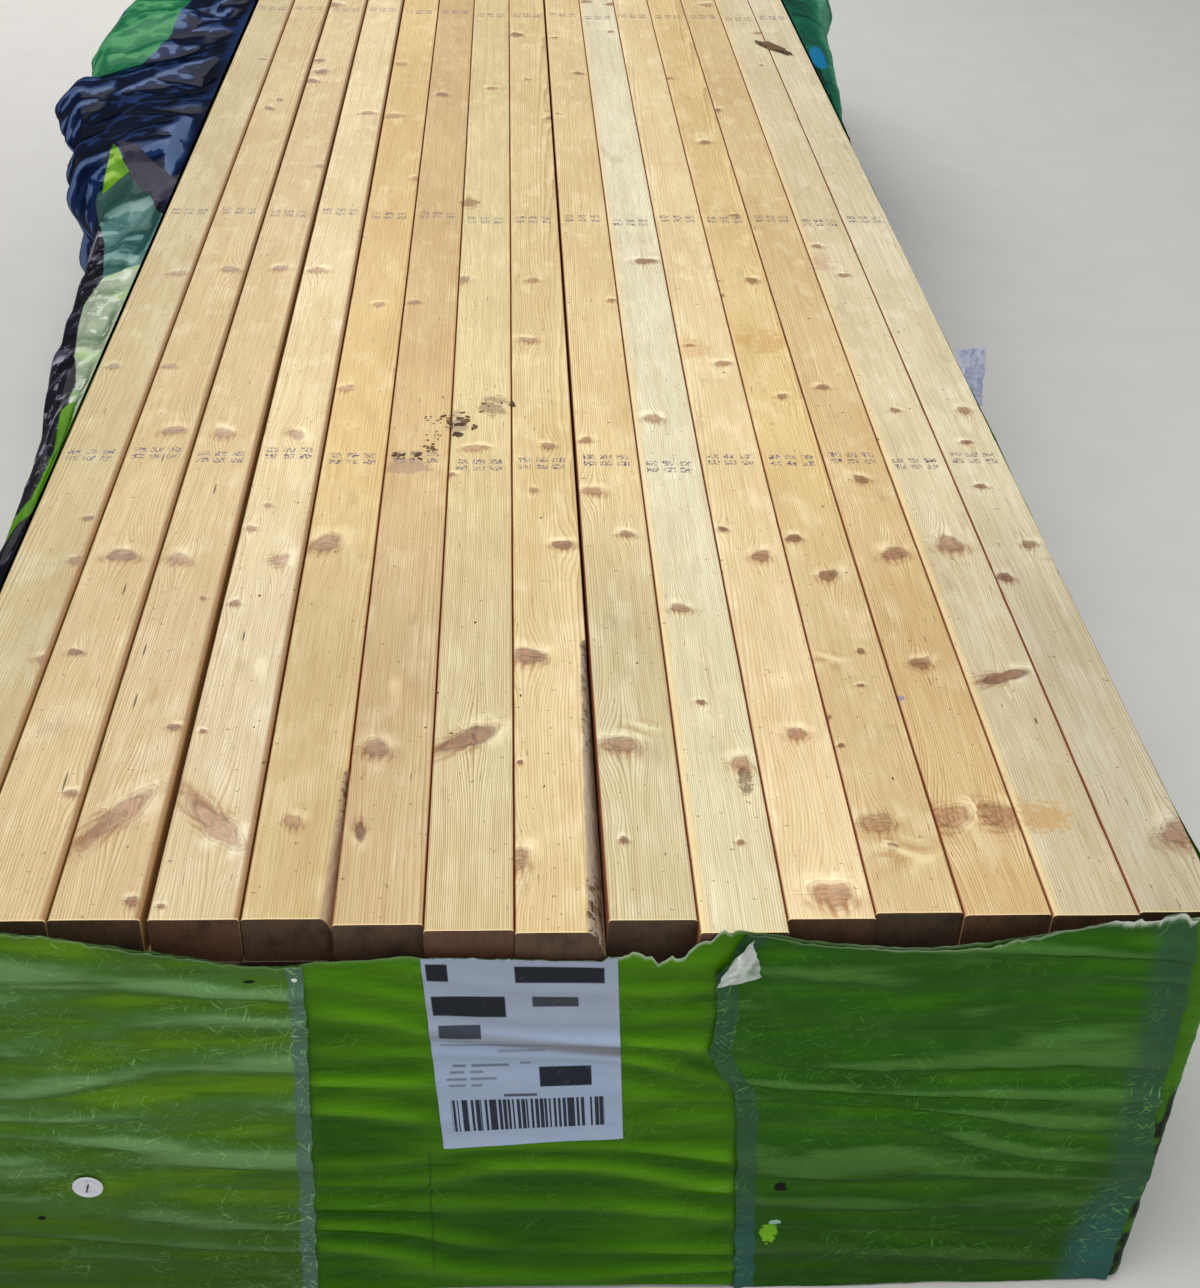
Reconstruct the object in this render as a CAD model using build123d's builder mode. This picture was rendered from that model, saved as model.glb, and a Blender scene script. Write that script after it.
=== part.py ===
from build123d import *
from math import atan2, cos, sin, sqrt
import os

# A bundle of planed pine studs in its torn open film wrap, as it lies on a level floor.
# Millimetres. Origin in the middle of the underside, +Y along the studs to the far end, +Z up.
# The near end, with the label, is at -Y.

os.makedirs("parts", exist_ok=True)

# Studs
stud_width = 70.0
stud_thickness = 45.0
stud_length = 3600.0
arris_radius = 3.0
studs_across = 15
layers_high = 10
stud_gap = 0.6
end_stagger = 4.0

# The top layer has come loose: its joints are open by these widths, from left to right.
near_gaps = (2.0, 1.6, 5.5, 1.4, 0.5, 0.5, 0.5, 2.8, 0.5, 0.5, 0.5, 0.7, 0.5, 0.7)
far_gaps = (1.6, 4.0, 1.6, 3.0, 1.0, 0.5, 0.5, 2.4, 0.5, 0.5, 0.5, 0.5, 0.5, 0.6)
# How far the near end of each top stud stands out of the bundle, from left to right.
stand_out = (-5, -5, -5.5, -5, -5, 2, 9, 12, -1, 13.5, -1, -7, -4, -3, -6)

# Wane: the round bark edge missing from the near right corner of two top studs.
# Each is the stud's number from the left, its length, its width on top and its depth.
# The bark side bulges between its two edges, and breaks off where it has run out to a share.
wanes = ((5, 175.0, 9.0, 15.0), (8, 390.0, 13.0, 24.0))
wane_belly = (0.45, 0.3)
wane_tip = 0.4
wane_over = 0.05
cut_over = 1.0

# Film wrap. Heights are measured from the top of the stack, up or down.
film_thickness = 1.5
film_corner = 12.0
lay_gap = 0.3
hem_height = 6.0
corner_film_rise = 8.0
corner_run = 160.0
side_film_drop = 6.0
# Places across the near end are shares of the film's half width, so that they go with it.
# The torn edge across the near end: share from the middle, drop below the corners' height.
torn_edge = (
    (-0.7837, 3.0),
    (-0.6158, 18.0),
    (-0.4478, 37.5),
    (-0.1978, 29.5),
    (0.0672, 33.5),
    (0.1791, 29.0),
    (0.2575, 5.0),
    (0.4012, 17.0),
    (0.5318, 23.5),
    (0.7651, 6.0),
)

# End flaps: the side film folded round the corner and across the end.
# Each edge has its share from the middle at the top of the stack and at the floor.
flap_thickness = 1.0
left_flap_edge = (-0.3657, -0.3881)
right_flap_edge = (0.2612, 0.3247)
right_flap_outer = (0.9386, 0.9703)
far_flap_edge = 0.3545

# Label
label_width = 152.0
label_height = 240.0
label_thickness = 0.5
label_turn = 3.5
label_middle = -0.0373
label_drop = 123.0

# Cap washer and staple that pin the left flap
cap_diameter = 26.0
cap_thickness = 1.6
cap_chamfer = 0.6
cap_middle = -0.7352
cap_drop = 290.0
staple_crown = 10.0
staple_wire = 1.2
staple_rise = 0.8
staple_turn = 75.0

# The torn top sheet, thrown off to both sides, where it hangs as a crumpled slack.
# Each section has its share of the studs' length, how far it bulges out,
# how far it rises over the top of the stack and how far it hangs below it.
left_slack = (
    (0.115, 12.0, -14.0, 240.0),
    (0.20, 34.0, -6.0, 290.0),
    (0.31, 46.0, -4.0, 310.0),
    (0.40, 84.0, -2.0, 330.0),
    (0.445, 158.0, 2.0, 335.0),
    (0.51, 268.0, 6.0, 345.0),
    (0.59, 318.0, 8.0, 350.0),
    (0.70, 276.0, 10.0, 345.0),
    (0.84, 196.0, 8.0, 330.0),
    (0.985, 52.0, -4.0, 290.0),
)
right_slack = (
    (0.515, 8.0, -12.0, 190.0),
    (0.58, 48.0, -2.0, 240.0),
    (0.65, 98.0, 6.0, 290.0),
    (0.74, 146.0, 10.0, 320.0),
    (0.86, 118.0, 8.0, 320.0),
    (0.985, 36.0, -6.0, 270.0),
)
# The folds down a section: its share of the bulge and of the height, from top to bottom.
folds = (
    (0.0, 1.0),
    (0.42, 1.0),
    (0.84, 0.95),
    (1.0, 0.80),
    (0.82, 0.64),
    (0.90, 0.48),
    (0.58, 0.30),
    (0.62, 0.16),
    (0.22, 0.02),
    (0.0, 0.0),
)
fold_swing = 0.07

# Worked out from the sizes above
stack_height = layers_high * stud_thickness
half_length = stud_length / 2
arris_flat = arris_radius * (2 - sqrt(2))
corner_height = stack_height + corner_film_rise
side_height = stack_height - side_film_drop


def middles(gaps):
    """The middle of each stud of a row, from the widths of the joints between them."""
    row_width = studs_across * stud_width + sum(gaps)
    left = -row_width / 2 + stud_width / 2
    return [left + i * stud_width + sum(gaps[:i]) for i in range(studs_across)]


def spread(values, count):
    """As many of the listed values as asked for, with the last repeated if they run out."""
    return [values[min(i, len(values) - 1)] for i in range(count)]


near_joints = spread(near_gaps, studs_across - 1)
far_joints = spread(far_gaps, studs_across - 1)
near_middles = middles(near_joints)
far_middles = middles(far_joints)
even_middles = middles([stud_gap] * (studs_across - 1))
near_ends = [-half_length - out for out in spread(stand_out, studs_across)]
half_width = max(near_middles[-1], far_middles[-1], even_middles[-1]) + stud_width / 2
end_reach = half_length + max(max(stand_out), end_stagger) + lay_gap
side_reach = half_width + lay_gap
film_end = end_reach + film_thickness
film_side = side_reach + film_thickness


def near_plane(out):
    """An upright plane at the near end, out by a distance, seen from in front."""
    return Plane(origin=(0, -out, 0), x_dir=(1, 0, 0), z_dir=(0, -1, 0))


def far_plane(out):
    """An upright plane at the far end, out by a distance, seen from in front."""
    return Plane(origin=(0, out, 0), x_dir=(1, 0, 0), z_dir=(0, -1, 0))


def stud_plane(near_x, far_x, y, z):
    """The plane of a stud's near end, square to the stud, which may lie a little askew."""
    turn = atan2(near_x - far_x, stud_length)
    return Plane(
        origin=(near_x, y, z),
        x_dir=(cos(turn), sin(turn), 0),
        z_dir=(-sin(turn), cos(turn), 0),
    )


def write(part, name):
    """Label the part and write it as its own file."""
    part.label = name
    export_step(part, f"parts/{name}.step")


def stagger(layer, i):
    """Where the near end of a stud inside the stack lies, a few millimetres in or out."""
    return -half_length - end_stagger * sin(2.4 * i + 1.7 * layer)


# The layers under the top one: studs side by side, with a small joint between them.
# Their arrises are flats that touch the round of the top studs in its middle.
for layer in range(layers_high - 1):
    with BuildPart() as studs:
        for i, x in enumerate(even_middles):
            z = (layer + 0.5) * stud_thickness
            with BuildSketch(stud_plane(x, x, stagger(layer, i), z)) as profile:
                Rectangle(stud_width, stud_thickness)
                chamfer(profile.vertices(), arris_flat)
            extrude(amount=stud_length)
    write(studs.part, f"stud_layer_{layer + 1:02d}")

# The top layer: open joints, uneven ends, and the wane of two studs.
top_z = stack_height - stud_thickness / 2
with BuildPart() as top_studs:
    for near_x, far_x, end in zip(near_middles, far_middles, near_ends):
        with BuildSketch(stud_plane(near_x, far_x, end, top_z)):
            RectangleRounded(stud_width, stud_thickness, arris_radius)
        extrude(amount=stud_length)
    for number, wane_length, wane_width, wane_depth in wanes:
        i = min(round(number), studs_across - 1) - 1
        corner = near_middles[i] + stud_width / 2
        for y, share in ((near_ends[i] - cut_over, 1.0), (near_ends[i] + wane_length, wane_tip)):
            on_top = Vector(-wane_width * share, 0)
            belly = Vector(-wane_width * share * wane_belly[0], wane_depth * share * wane_belly[1])
            on_side = Vector(0, wane_depth * share)
            above = on_top + (on_top - belly) * wane_over
            beside = on_side + (on_side - belly) * wane_over
            with BuildSketch(Plane(origin=(corner, y, stack_height), x_dir=(1, 0, 0), z_dir=(0, 1, 0))):
                with BuildLine():
                    Polyline(above, belly, beside, (beside.X, above.Y), close=True)
                make_face()
        loft(ruled=True, mode=Mode.SUBTRACT)
write(top_studs.part, f"stud_layer_{layers_high:02d}")


def torn_outline():
    """The outline of the film across the near end, with the torn edge as its top."""
    with BuildLine() as outline:
        torn = Spline(
            (-film_side, corner_height),
            *[(share * film_side, corner_height - drop) for share, drop in torn_edge],
            (film_side, corner_height),
        )
        Polyline(torn @ 1, (film_side, hem_height), (-film_side, hem_height), torn @ 0)
    return outline.line


# The film round the four sides, one sheet: a tube cut down to its torn upper edge.
with BuildPart() as film:
    with BuildSketch(Plane.XY.offset(hem_height)):
        RectangleRounded(2 * film_side, 2 * film_end, film_corner)
        RectangleRounded(2 * side_reach, 2 * end_reach, film_corner - film_thickness, mode=Mode.SUBTRACT)
    extrude(amount=corner_height + film_corner - hem_height)
    with BuildSketch(near_plane(film_end + cut_over)):
        with Locations((0, stack_height)):
            Rectangle(2 * film_side, stack_height)
        add(make_face(torn_outline(), mode=Mode.PRIVATE), mode=Mode.SUBTRACT)
    extrude(amount=-(2 * cut_over + film_corner), mode=Mode.SUBTRACT)
    with BuildSketch(Plane.YZ.offset(-film_side - cut_over)):
        with BuildLine():
            start = film_corner - film_end
            side = Spline(
                (start, corner_height),
                (start + corner_run, side_height),
                tangents=((1, 0), (1, 0)),
            )
            Polyline(
                side @ 1,
                (film_end + cut_over, side_height),
                (film_end + cut_over, 2 * stack_height),
                (start, 2 * stack_height),
                side @ 0,
            )
        make_face()
    extrude(amount=2 * (film_side + cut_over), mode=Mode.SUBTRACT)
write(film.part, "film_wrap")

# The flaps on the near end: what the torn outline leaves of each folded sheet.
flap_root = film_side - film_corner
left_top, left_low = (share * film_side for share in left_flap_edge)
right_top, right_low = (share * film_side for share in right_flap_edge)
outer_top, outer_low = (share * film_side for share in right_flap_outer)
near_flaps = {
    "near_left_flap": (
        (-flap_root, 2 * stack_height),
        (left_top, 2 * stack_height),
        (left_top, stack_height),
        (left_low, 0),
        (-flap_root, 0),
    ),
    "near_right_flap": (
        (right_top, 2 * stack_height),
        (outer_top, 2 * stack_height),
        (outer_top, stack_height),
        (outer_low, 0),
        (right_low, 0),
        (right_top, stack_height),
    ),
}
for name, corners in near_flaps.items():
    with BuildPart() as flap:
        with BuildSketch(near_plane(film_end + lay_gap)):
            make_face(torn_outline())
            with BuildLine():
                Polyline(*corners, close=True)
            make_face(mode=Mode.INTERSECT)
        extrude(amount=flap_thickness)
    write(flap.part, name)

# The flaps on the far end, plain, from each side as far as the middle panel.
for name, side in (("far_left_flap", -1), ("far_right_flap", 1)):
    flap_start = far_flap_edge * film_side
    flap_width = flap_root - flap_start
    with BuildPart() as flap:
        with BuildSketch(far_plane(film_end + lay_gap)):
            with Locations((side * (flap_start + flap_width / 2), (hem_height + side_height) / 2)):
                Rectangle(flap_width, side_height - hem_height)
        extrude(amount=-flap_thickness)
    write(flap.part, name)

# The label, a little askew, its top torn off with the film.
with BuildPart() as label:
    with BuildSketch(near_plane(film_end + lay_gap)):
        make_face(torn_outline())
        with Locations(Location((label_middle * film_side, stack_height - label_drop), label_turn)):
            Rectangle(label_width, label_height, mode=Mode.INTERSECT)
    extrude(amount=label_thickness)
write(label.part, "label")

# The cap washer: a disc with a bevelled rim that lies on the left flap.
cap_centre = (cap_middle * film_side, stack_height - cap_drop)
cap_plane = near_plane(film_end + lay_gap + flap_thickness + lay_gap)
with BuildPart() as cap:
    with BuildSketch(cap_plane):
        with Locations(cap_centre):
            Circle(cap_diameter / 2)
    extrude(amount=cap_thickness)
    chamfer(cap.faces().sort_by(Axis.Y)[0].edges(), cap_chamfer)
write(cap.part, "cap_washer")

# The staple's crown, a flat wire that bridges the middle of the washer.
with BuildPart() as staple:
    with BuildSketch(cap_plane.offset(cap_thickness + lay_gap)):
        with Locations(Location(cap_centre, staple_turn)):
            SlotOverall(staple_crown, staple_wire)
    extrude(amount=staple_rise)
write(staple.part, "cap_staple")


def slack_section(number, share, bulge, rise, hang, side):
    """One upright section of a hanging slack: straight against the wrap, folded outside."""
    place = stud_length * share - half_length
    wall = film_side + lay_gap
    with BuildSketch(Plane(origin=(0, place, 0), x_dir=(1, 0, 0), z_dir=(0, -1, 0))) as section:
        with BuildLine():
            points = []
            for step, (out, up) in enumerate(folds):
                swing = 1 + fold_swing * sin(2.3 * step + 1.7 * number)
                height = stack_height - hang + up * (rise + hang)
                points.append((side * (wall + bulge * out * swing), height))
            Polyline(*points, close=True)
        make_face()
    return section.sketch


# The torn top sheet, one slack hanging down each side.
for name, sections, side in (
    ("left_top_sheet", left_slack, -1),
    ("right_top_sheet", right_slack, 1),
):
    with BuildPart() as slack:
        loft([slack_section(n, *sizes, side) for n, sizes in enumerate(sections)], ruled=True)
    write(slack.part, name)
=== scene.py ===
# %% [markdown]
# # A bundle of pine studs in its torn green film
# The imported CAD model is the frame. It already has 150 studs in ten layers, the film round
# them, a label and a cap washer, all of the right size. This lesson dresses that frame: the
# top studs get their grain and knots, and the film gets its wrinkles. Everything is in metres.

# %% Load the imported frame
from functools import partialmethod, reduce
import bpy
import numpy as np
from mathutils import Matrix, Vector


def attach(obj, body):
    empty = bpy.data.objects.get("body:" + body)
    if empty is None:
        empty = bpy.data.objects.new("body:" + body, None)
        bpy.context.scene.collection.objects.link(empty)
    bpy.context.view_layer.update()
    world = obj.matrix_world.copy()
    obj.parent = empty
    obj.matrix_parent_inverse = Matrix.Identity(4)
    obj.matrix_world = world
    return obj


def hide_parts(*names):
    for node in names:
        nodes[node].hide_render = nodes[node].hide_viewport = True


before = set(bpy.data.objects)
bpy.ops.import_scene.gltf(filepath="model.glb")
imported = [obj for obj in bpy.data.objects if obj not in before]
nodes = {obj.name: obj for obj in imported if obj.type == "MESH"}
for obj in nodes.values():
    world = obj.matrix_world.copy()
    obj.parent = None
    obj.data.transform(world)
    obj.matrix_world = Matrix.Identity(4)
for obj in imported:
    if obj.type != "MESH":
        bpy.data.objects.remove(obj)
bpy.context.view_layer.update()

# %% [markdown]
# ## The camera
# The joints between the studs are parallel lines, so where they meet in the photograph gives
# the camera's angle, and the known width of the stack gives its place. Three turns (yaw,
# pitch and roll) make the camera's own axes, and the same numbers let any pixel of the
# photograph be carried back on to the stack, which is how the knots find their places.

# %% Camera and the way back from a pixel
PHOTO_WIDTH, PHOTO_HEIGHT = 1200, 1288
FOCAL_PIXELS = 1725.17
SENSOR = 36.0
EYE = np.array([-0.04126, -2.77397, 1.39452])
PITCH, YAW, ROLL = 0.60923, 0.06822, 0.04075

ahead = np.array([np.sin(YAW) * np.cos(PITCH), np.cos(YAW) * np.cos(PITCH), -np.sin(PITCH)])
level = np.array([np.cos(YAW), -np.sin(YAW), 0.0])
upward = np.cross(level, ahead)
eye_right = np.cos(ROLL) * level + np.sin(ROLL) * upward
eye_up = -np.sin(ROLL) * level + np.cos(ROLL) * upward


def put(name, data):
    """Puts a mesh, a lamp or a camera into the scene as an object."""
    made = bpy.data.objects.new(name, data)
    bpy.context.scene.collection.objects.link(made)
    return made


camera_data = bpy.data.cameras.new("camera")
camera_data.sensor_width = SENSOR
camera_data.lens = FOCAL_PIXELS * SENSOR / PHOTO_HEIGHT
camera = put("camera", camera_data)
turn = np.eye(4)
turn[:3, 0], turn[:3, 1], turn[:3, 2], turn[:3, 3] = eye_right, eye_up, -ahead, EYE
camera.matrix_world = Matrix(turn.tolist())
bpy.context.scene.camera = camera


def rays(pixels):
    """The direction through each pixel: ahead, plus its offsets from the middle over the focal length."""
    across, down = np.asarray(pixels, float).reshape(-1, 2).T
    sideways = (across - PHOTO_WIDTH / 2) / FOCAL_PIXELS
    rise = (PHOTO_HEIGHT / 2 - down) / FOCAL_PIXELS
    return ahead + sideways[:, None] * eye_right + rise[:, None] * eye_up


def on_level(pixels, height):
    """Where the rays through the pixels meet a level plane: the eye plus as much ray as drops to it."""
    ray = rays(pixels)
    return EYE + ray * ((height - EYE[2]) / ray[:, 2])[:, None]


middle = on_level([(PHOTO_WIDTH / 2, PHOTO_HEIGHT / 2)], 0.45).round(3)
print("lens", round(camera_data.lens, 2), "mm; the photo's middle is at", middle)

# %% [markdown]
# ## Sizes shared with the CAD
# The replaced pieces have to lie where their solids do, so the sizes that place them are the
# same as in the part's source, in metres here.

# %% Sizes
MM = 0.001
STUD_WIDTH, STUD_THICKNESS, STUD_LENGTH = 70 * MM, 45 * MM, 3600 * MM
ARRIS = 3 * MM
STACK_HEIGHT = 450 * MM
NEAR_GAPS = np.array([2.0, 1.6, 5.5, 1.4, 0.5, 0.5, 0.5, 2.8, 0.5, 0.5, 0.5, 0.7, 0.5, 0.7]) * MM
FAR_GAPS = np.array([1.6, 4.0, 1.6, 3.0, 1.0, 0.5, 0.5, 2.4, 0.5, 0.5, 0.5, 0.5, 0.5, 0.6]) * MM
STAND_OUT = np.array([-5, -5, -5.5, -5, -5, 2, 9, 12, -1, 13.5, -1, -7, -4, -3, -6]) * MM
WANES = {5: (175 * MM, 9 * MM, 15 * MM), 8: (390 * MM, 13 * MM, 24 * MM)}
WANE_TIP = 0.4
FILM_SIDE, FILM_END, FILM_CORNER = 535.9 * MM, 1815.3 * MM, 12 * MM
HEM_HEIGHT, SIDE_TOP, CORNER_TOP = 6 * MM, 444 * MM, 458 * MM
CORNER_RUN = 160 * MM


def stud_middles(gaps):
    """Each stud's middle across the stack: half the row to the left, then a stud and a joint more each."""
    steps = np.concatenate([[0.0], np.cumsum(gaps + STUD_WIDTH)])
    return steps - steps[-1] / 2


near_middles, far_middles = stud_middles(NEAR_GAPS), stud_middles(FAR_GAPS)
print("row:", (near_middles[[0, -1]] * 1000).round(1), "mm")

# %% [markdown]
# ## Noise and surfaces
# Wood and film both need values that wander smoothly. Random heights on the whole-number
# points of a lattice, blended between the points with a curve that is level at both ends,
# give exactly that, and a fixed seed gives the same bundle each time. A surface is then a
# grid of points, each worked out from two parameters, with a face between each four.

# %% Noise
LATTICE = 128  # points along each side of the lattice, after which it repeats


def lattice(u, v, seed):
    """How far over its lattice square each place lies, both ways, and the heights at its corners."""
    heights = np.random.default_rng(seed).uniform(-1, 1, (LATTICE, LATTICE))
    u, v = np.broadcast_arrays(np.asarray(u, float), np.asarray(v, float))
    column, row = np.floor(u).astype(int), np.floor(v).astype(int)
    corners = (
        heights[(row + down) % LATTICE, (column + right) % LATTICE] for down in (0, 1) for right in (0, 1)
    )
    return u - column, v - row, *corners


def wander(u, v, seed):
    """Value noise from -1 to 1: lattice heights blended both ways by the curve 6t^5 - 15t^4 + 10t^3."""
    a, b, here, beside, over, across = lattice(u, v, seed)
    a, b = a * a * a * (a * (6 * a - 15) + 10), b * b * b * (b * (6 * b - 15) + 10)
    return (here * (1 - a) + beside * a) * (1 - b) + (over * (1 - a) + across * a) * b


def rough(u, v, seed, octaves=3):
    """Layers of noise, each twice as fine as the one before and half as high."""
    return sum(wander(u * 2**k, v * 2**k, seed + k) / 2**k for k in range(octaves))


def crease(u, v, seed, octaves=3):
    """Creased noise from 0 to about 1: one less the distance from zero, so it peaks along sharp lines."""
    total = sum((1 - np.abs(wander(u * 2**k, v * 2**k, seed + k)) * 2) / 2**k for k in range(octaves))
    return total / 2


def ease(low, high, value):
    """A smooth step from 0 at low to 1 at high: 3t^2 - 2t^3 of the share between them."""
    share = np.clip((value - low) / (high - low), 0, 1)
    return share * share * (3 - 2 * share)


# %% Surfaces


def quads(index):
    """The four corners of every face between the rows and columns of a grid of vertex numbers."""
    return np.stack([index[:-1, :-1], index[:-1, 1:], index[1:, 1:], index[1:, :-1]], axis=-1).reshape(-1, 4)


def between(corners, share, rise):
    """Places between four corners: blended across by the share, and then upwards by the rise."""
    low_left, low_right, top_left, top_right = corners
    share, rise = share[..., None], rise[..., None]
    low, top = low_left * (1 - share) + low_right * share, top_left * (1 - share) + top_right * share
    return low * (1 - rise) + top * rise


def surface(name, grid, facts=None, wrap=False, caps=False, sharp=None):
    """A mesh with a vertex at each point of a rows by columns grid and a face between each four points.

    wrap joins the last column to the first, and caps closes the first and last rows with one
    face each. facts are values for each vertex, which the material reads as attributes.
    """
    rows, columns = grid.shape[:2]
    index = np.arange(rows * columns).reshape(rows, columns)
    ring = np.concatenate([index, index[:, :1]], axis=1) if wrap else index
    faces = quads(ring)
    corners, starts = faces.ravel(), np.arange(len(faces)) * 4
    if caps:
        corners = np.concatenate([corners, index[0, ::-1], index[-1]])
        starts = np.concatenate([starts, [4 * len(faces), 4 * len(faces) + columns]])
    mesh = bpy.data.meshes.new(name)
    mesh.vertices.add(rows * columns)
    mesh.vertices.foreach_set("co", grid.reshape(-1).astype(np.float32))
    mesh.loops.add(len(corners))
    mesh.loops.foreach_set("vertex_index", corners.astype(np.int32))
    mesh.polygons.add(len(starts))
    mesh.polygons.foreach_set("loop_start", starts.astype(np.int32))
    mesh.update(calc_edges=True)
    mesh.validate()
    for fact, values in (facts or {}).items():
        layer = mesh.attributes.new(fact, "FLOAT", "POINT")
        layer.data.foreach_set(
            "value", np.broadcast_to(values, (rows, columns)).reshape(-1).astype(np.float32)
        )
    mesh.polygons.foreach_set("use_smooth", np.ones(len(starts), bool))
    if sharp is not None:
        mesh.set_sharp_from_angle(angle=np.radians(sharp))
    return put(name, mesh)


def dress(piece, material, slot, *replaced):
    """Gives a piece its material, its body and the CAD nodes that it stands for. The slot is not used."""
    piece.data.materials.clear()
    piece.data.materials.append(material)
    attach(piece, "root")
    if replaced:
        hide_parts(*replaced)
    return piece


# %% [markdown]
# ## Writing materials as sums
# A material is a graph of nodes, and long sums are hard to read as boxes and wires. The
# small class below wraps an output socket, so that `a * 2 + b` adds the Math nodes by itself.

# %% A socket that can be reckoned with


def shade(red, green, blue):
    """A colour as the screen shows it, from 0 to 255, turned into the linear values that a shader wants."""
    screen = np.array([red, green, blue]) / 255
    return tuple(
        float(c) for c in np.where(screen <= 0.04045, screen / 12.92, ((screen + 0.055) / 1.055) ** 2.4)
    )


class Wire:
    """An output socket, or a plain number, whose operators add Math nodes to its material."""

    def __init__(self, paint, socket):
        self.paint = paint
        self.socket = socket

    def math(self, operation, *others, clamp=False):
        settings = {"operation": operation, "use_clamp": clamp}
        return self.paint.node("ShaderNodeMath", settings, dict(enumerate((self, *others))))

    __add__ = __radd__ = partialmethod(math, "ADD")
    __sub__ = partialmethod(math, "SUBTRACT")
    __mul__ = __rmul__ = partialmethod(math, "MULTIPLY")
    __truediv__ = partialmethod(math, "DIVIDE")
    power = partialmethod(math, "POWER")
    most = partialmethod(math, "MAXIMUM")
    sine = partialmethod(math, "SINE")
    fraction = partialmethod(math, "FRACT")
    floor = partialmethod(math, "FLOOR")
    size = partialmethod(math, "ABSOLUTE")
    clamp = partialmethod(math, "ADD", 0.0, clamp=True)

    def __rsub__(self, other):
        return self.paint.node("ShaderNodeMath", {"operation": "SUBTRACT"}, {0: other, 1: self})

    def step(self, low, high):
        """Rises smoothly from 0 at low to 1 at high, or falls where low is the greater."""
        inputs = {"Value": self, "From Min": min(low, high), "From Max": max(low, high)}
        inputs |= {"To Min": float(low > high), "To Max": float(low < high)}
        return self.paint.node("ShaderNodeMapRange", {"interpolation_type": "SMOOTHSTEP"}, inputs)


def strongest(marks):
    """The greatest of several wires."""
    return reduce(Wire.most, marks)


class Paint:
    """A material under construction, with one method that adds any node."""

    def __init__(self, name):
        self.material = bpy.data.materials.new(name)
        self.material.use_nodes = True
        self.tree = self.material.node_tree
        self.shader = self.tree.nodes["Principled BSDF"]

    def feed(self, socket, value):
        if isinstance(value, Wire):
            self.tree.links.new(value.socket, socket)
        else:
            socket.default_value = value

    def node(self, kind, settings=None, inputs=None, output=0):
        made = self.tree.nodes.new(kind)
        for key, value in (settings or {}).items():
            if key == "stops":
                while len(made.color_ramp.elements) < len(value):
                    made.color_ramp.elements.new(0.5)
                for element, (place, colour) in zip(made.color_ramp.elements, value):
                    element.position = place
                    element.color = (*shade(*colour), 1)
            else:
                setattr(made, key, value)
        for key, value in (inputs or {}).items():
            self.feed(made.inputs[key], value)
        return Wire(self, made.outputs[output])

    def fact(self, name):
        return self.node("ShaderNodeAttribute", {"attribute_name": name}, output="Fac")

    def place(self):
        return self.node("ShaderNodeTexCoord", output="Object")

    def vectors(self, operation, *inputs, output="Vector"):
        return self.node("ShaderNodeVectorMath", {"operation": operation}, dict(enumerate(inputs)), output)

    def stretch(self, place, sizes):
        return self.vectors("MULTIPLY", place, sizes)

    def away(self, place, centre, sizes):
        """The square of how many sizes a place lies from a centre. A direction of size 0 doesn't count."""
        scales = tuple(1 / size if size else 0.0 for size in sizes)
        shift = tuple(-at * scale for at, scale in zip(centre, scales))
        scaled = self.vectors("MULTIPLY_ADD", place, scales, shift)
        return self.vectors("DOT_PRODUCT", scaled, scaled, output="Value")

    def vector(self, x, y, z):
        return self.node("ShaderNodeCombineXYZ", inputs={0: x, 1: y, 2: z})

    def split(self, place):
        made = self.tree.nodes.new("ShaderNodeSeparateXYZ")
        self.feed(made.inputs[0], place)
        return [Wire(self, made.outputs[k]) for k in range(3)]

    def noise(self, place, scale, detail=2.0, roughness=0.5):
        """Noise whose scale is one number, or one for each axis where it is stretched."""
        if isinstance(scale, tuple):
            place, scale = self.stretch(place, scale), 1.0
        inputs = {"Vector": place, "Scale": scale, "Detail": detail, "Roughness": roughness}
        return self.node("ShaderNodeTexNoise", inputs=inputs)

    def mix(self, share, one, other):
        """Two colours, each a wire or three numbers from 0 to 255, mixed by a share that is clamped here."""
        one, other = (value if isinstance(value, Wire) else (*shade(*value), 1) for value in (one, other))
        return self.node("ShaderNodeMix", {"data_type": "RGBA"}, {0: share, 6: one, 7: other}, 2)

    def ramp(self, value, stops):
        return self.node("ShaderNodeValToRGB", {"stops": stops}, {"Fac": value})

    def another(self, *surface, **constants):
        """A second shader in the same material, for a part of the surface that has nodes of its own."""
        first, self.shader = self.shader, self.tree.nodes.new("ShaderNodeBsdfPrincipled")
        self.finish(*surface, **constants)
        made, self.shader = self.shader, first
        return made

    def blend(self, share, one, other):
        """Blends two shaders. Where the share is 0 or 1, the other one's own nodes are skipped."""
        made = self.tree.nodes.new("ShaderNodeMixShader")
        self.feed(made.inputs[0], share)
        self.tree.links.new(one.outputs[0], made.inputs[1])
        self.tree.links.new(other.outputs[0], made.inputs[2])
        self.tree.links.new(made.outputs[0], self.tree.nodes["Material Output"].inputs["Surface"])
        return made

    def finish(self, colour, roughness, relief=None, height=0.001, **constants):
        """Feeds the shader: what varies by wires, and constants on its own sockets."""
        self.feed(self.shader.inputs["Base Color"], colour)
        self.feed(self.shader.inputs["Roughness"], roughness)
        if relief is not None:
            inputs = {"Height": relief, "Distance": height, "Strength": 1.0}
            self.feed(self.shader.inputs["Normal"], self.node("ShaderNodeBump", inputs=inputs))
        for name, value in constants.items():
            self.shader.inputs[name.replace("_", " ")].default_value = value
        return self.material


# %% [markdown]
# ## Light, floor and backdrop
# A pale floor and a soft overcast sky show every colour about as it is written. A large
# lamp behind and above the stack gives the studs their sheen, as the low sun did, and two
# weaker ones, over the near end and in front of it, fill in its shadow.

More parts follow.
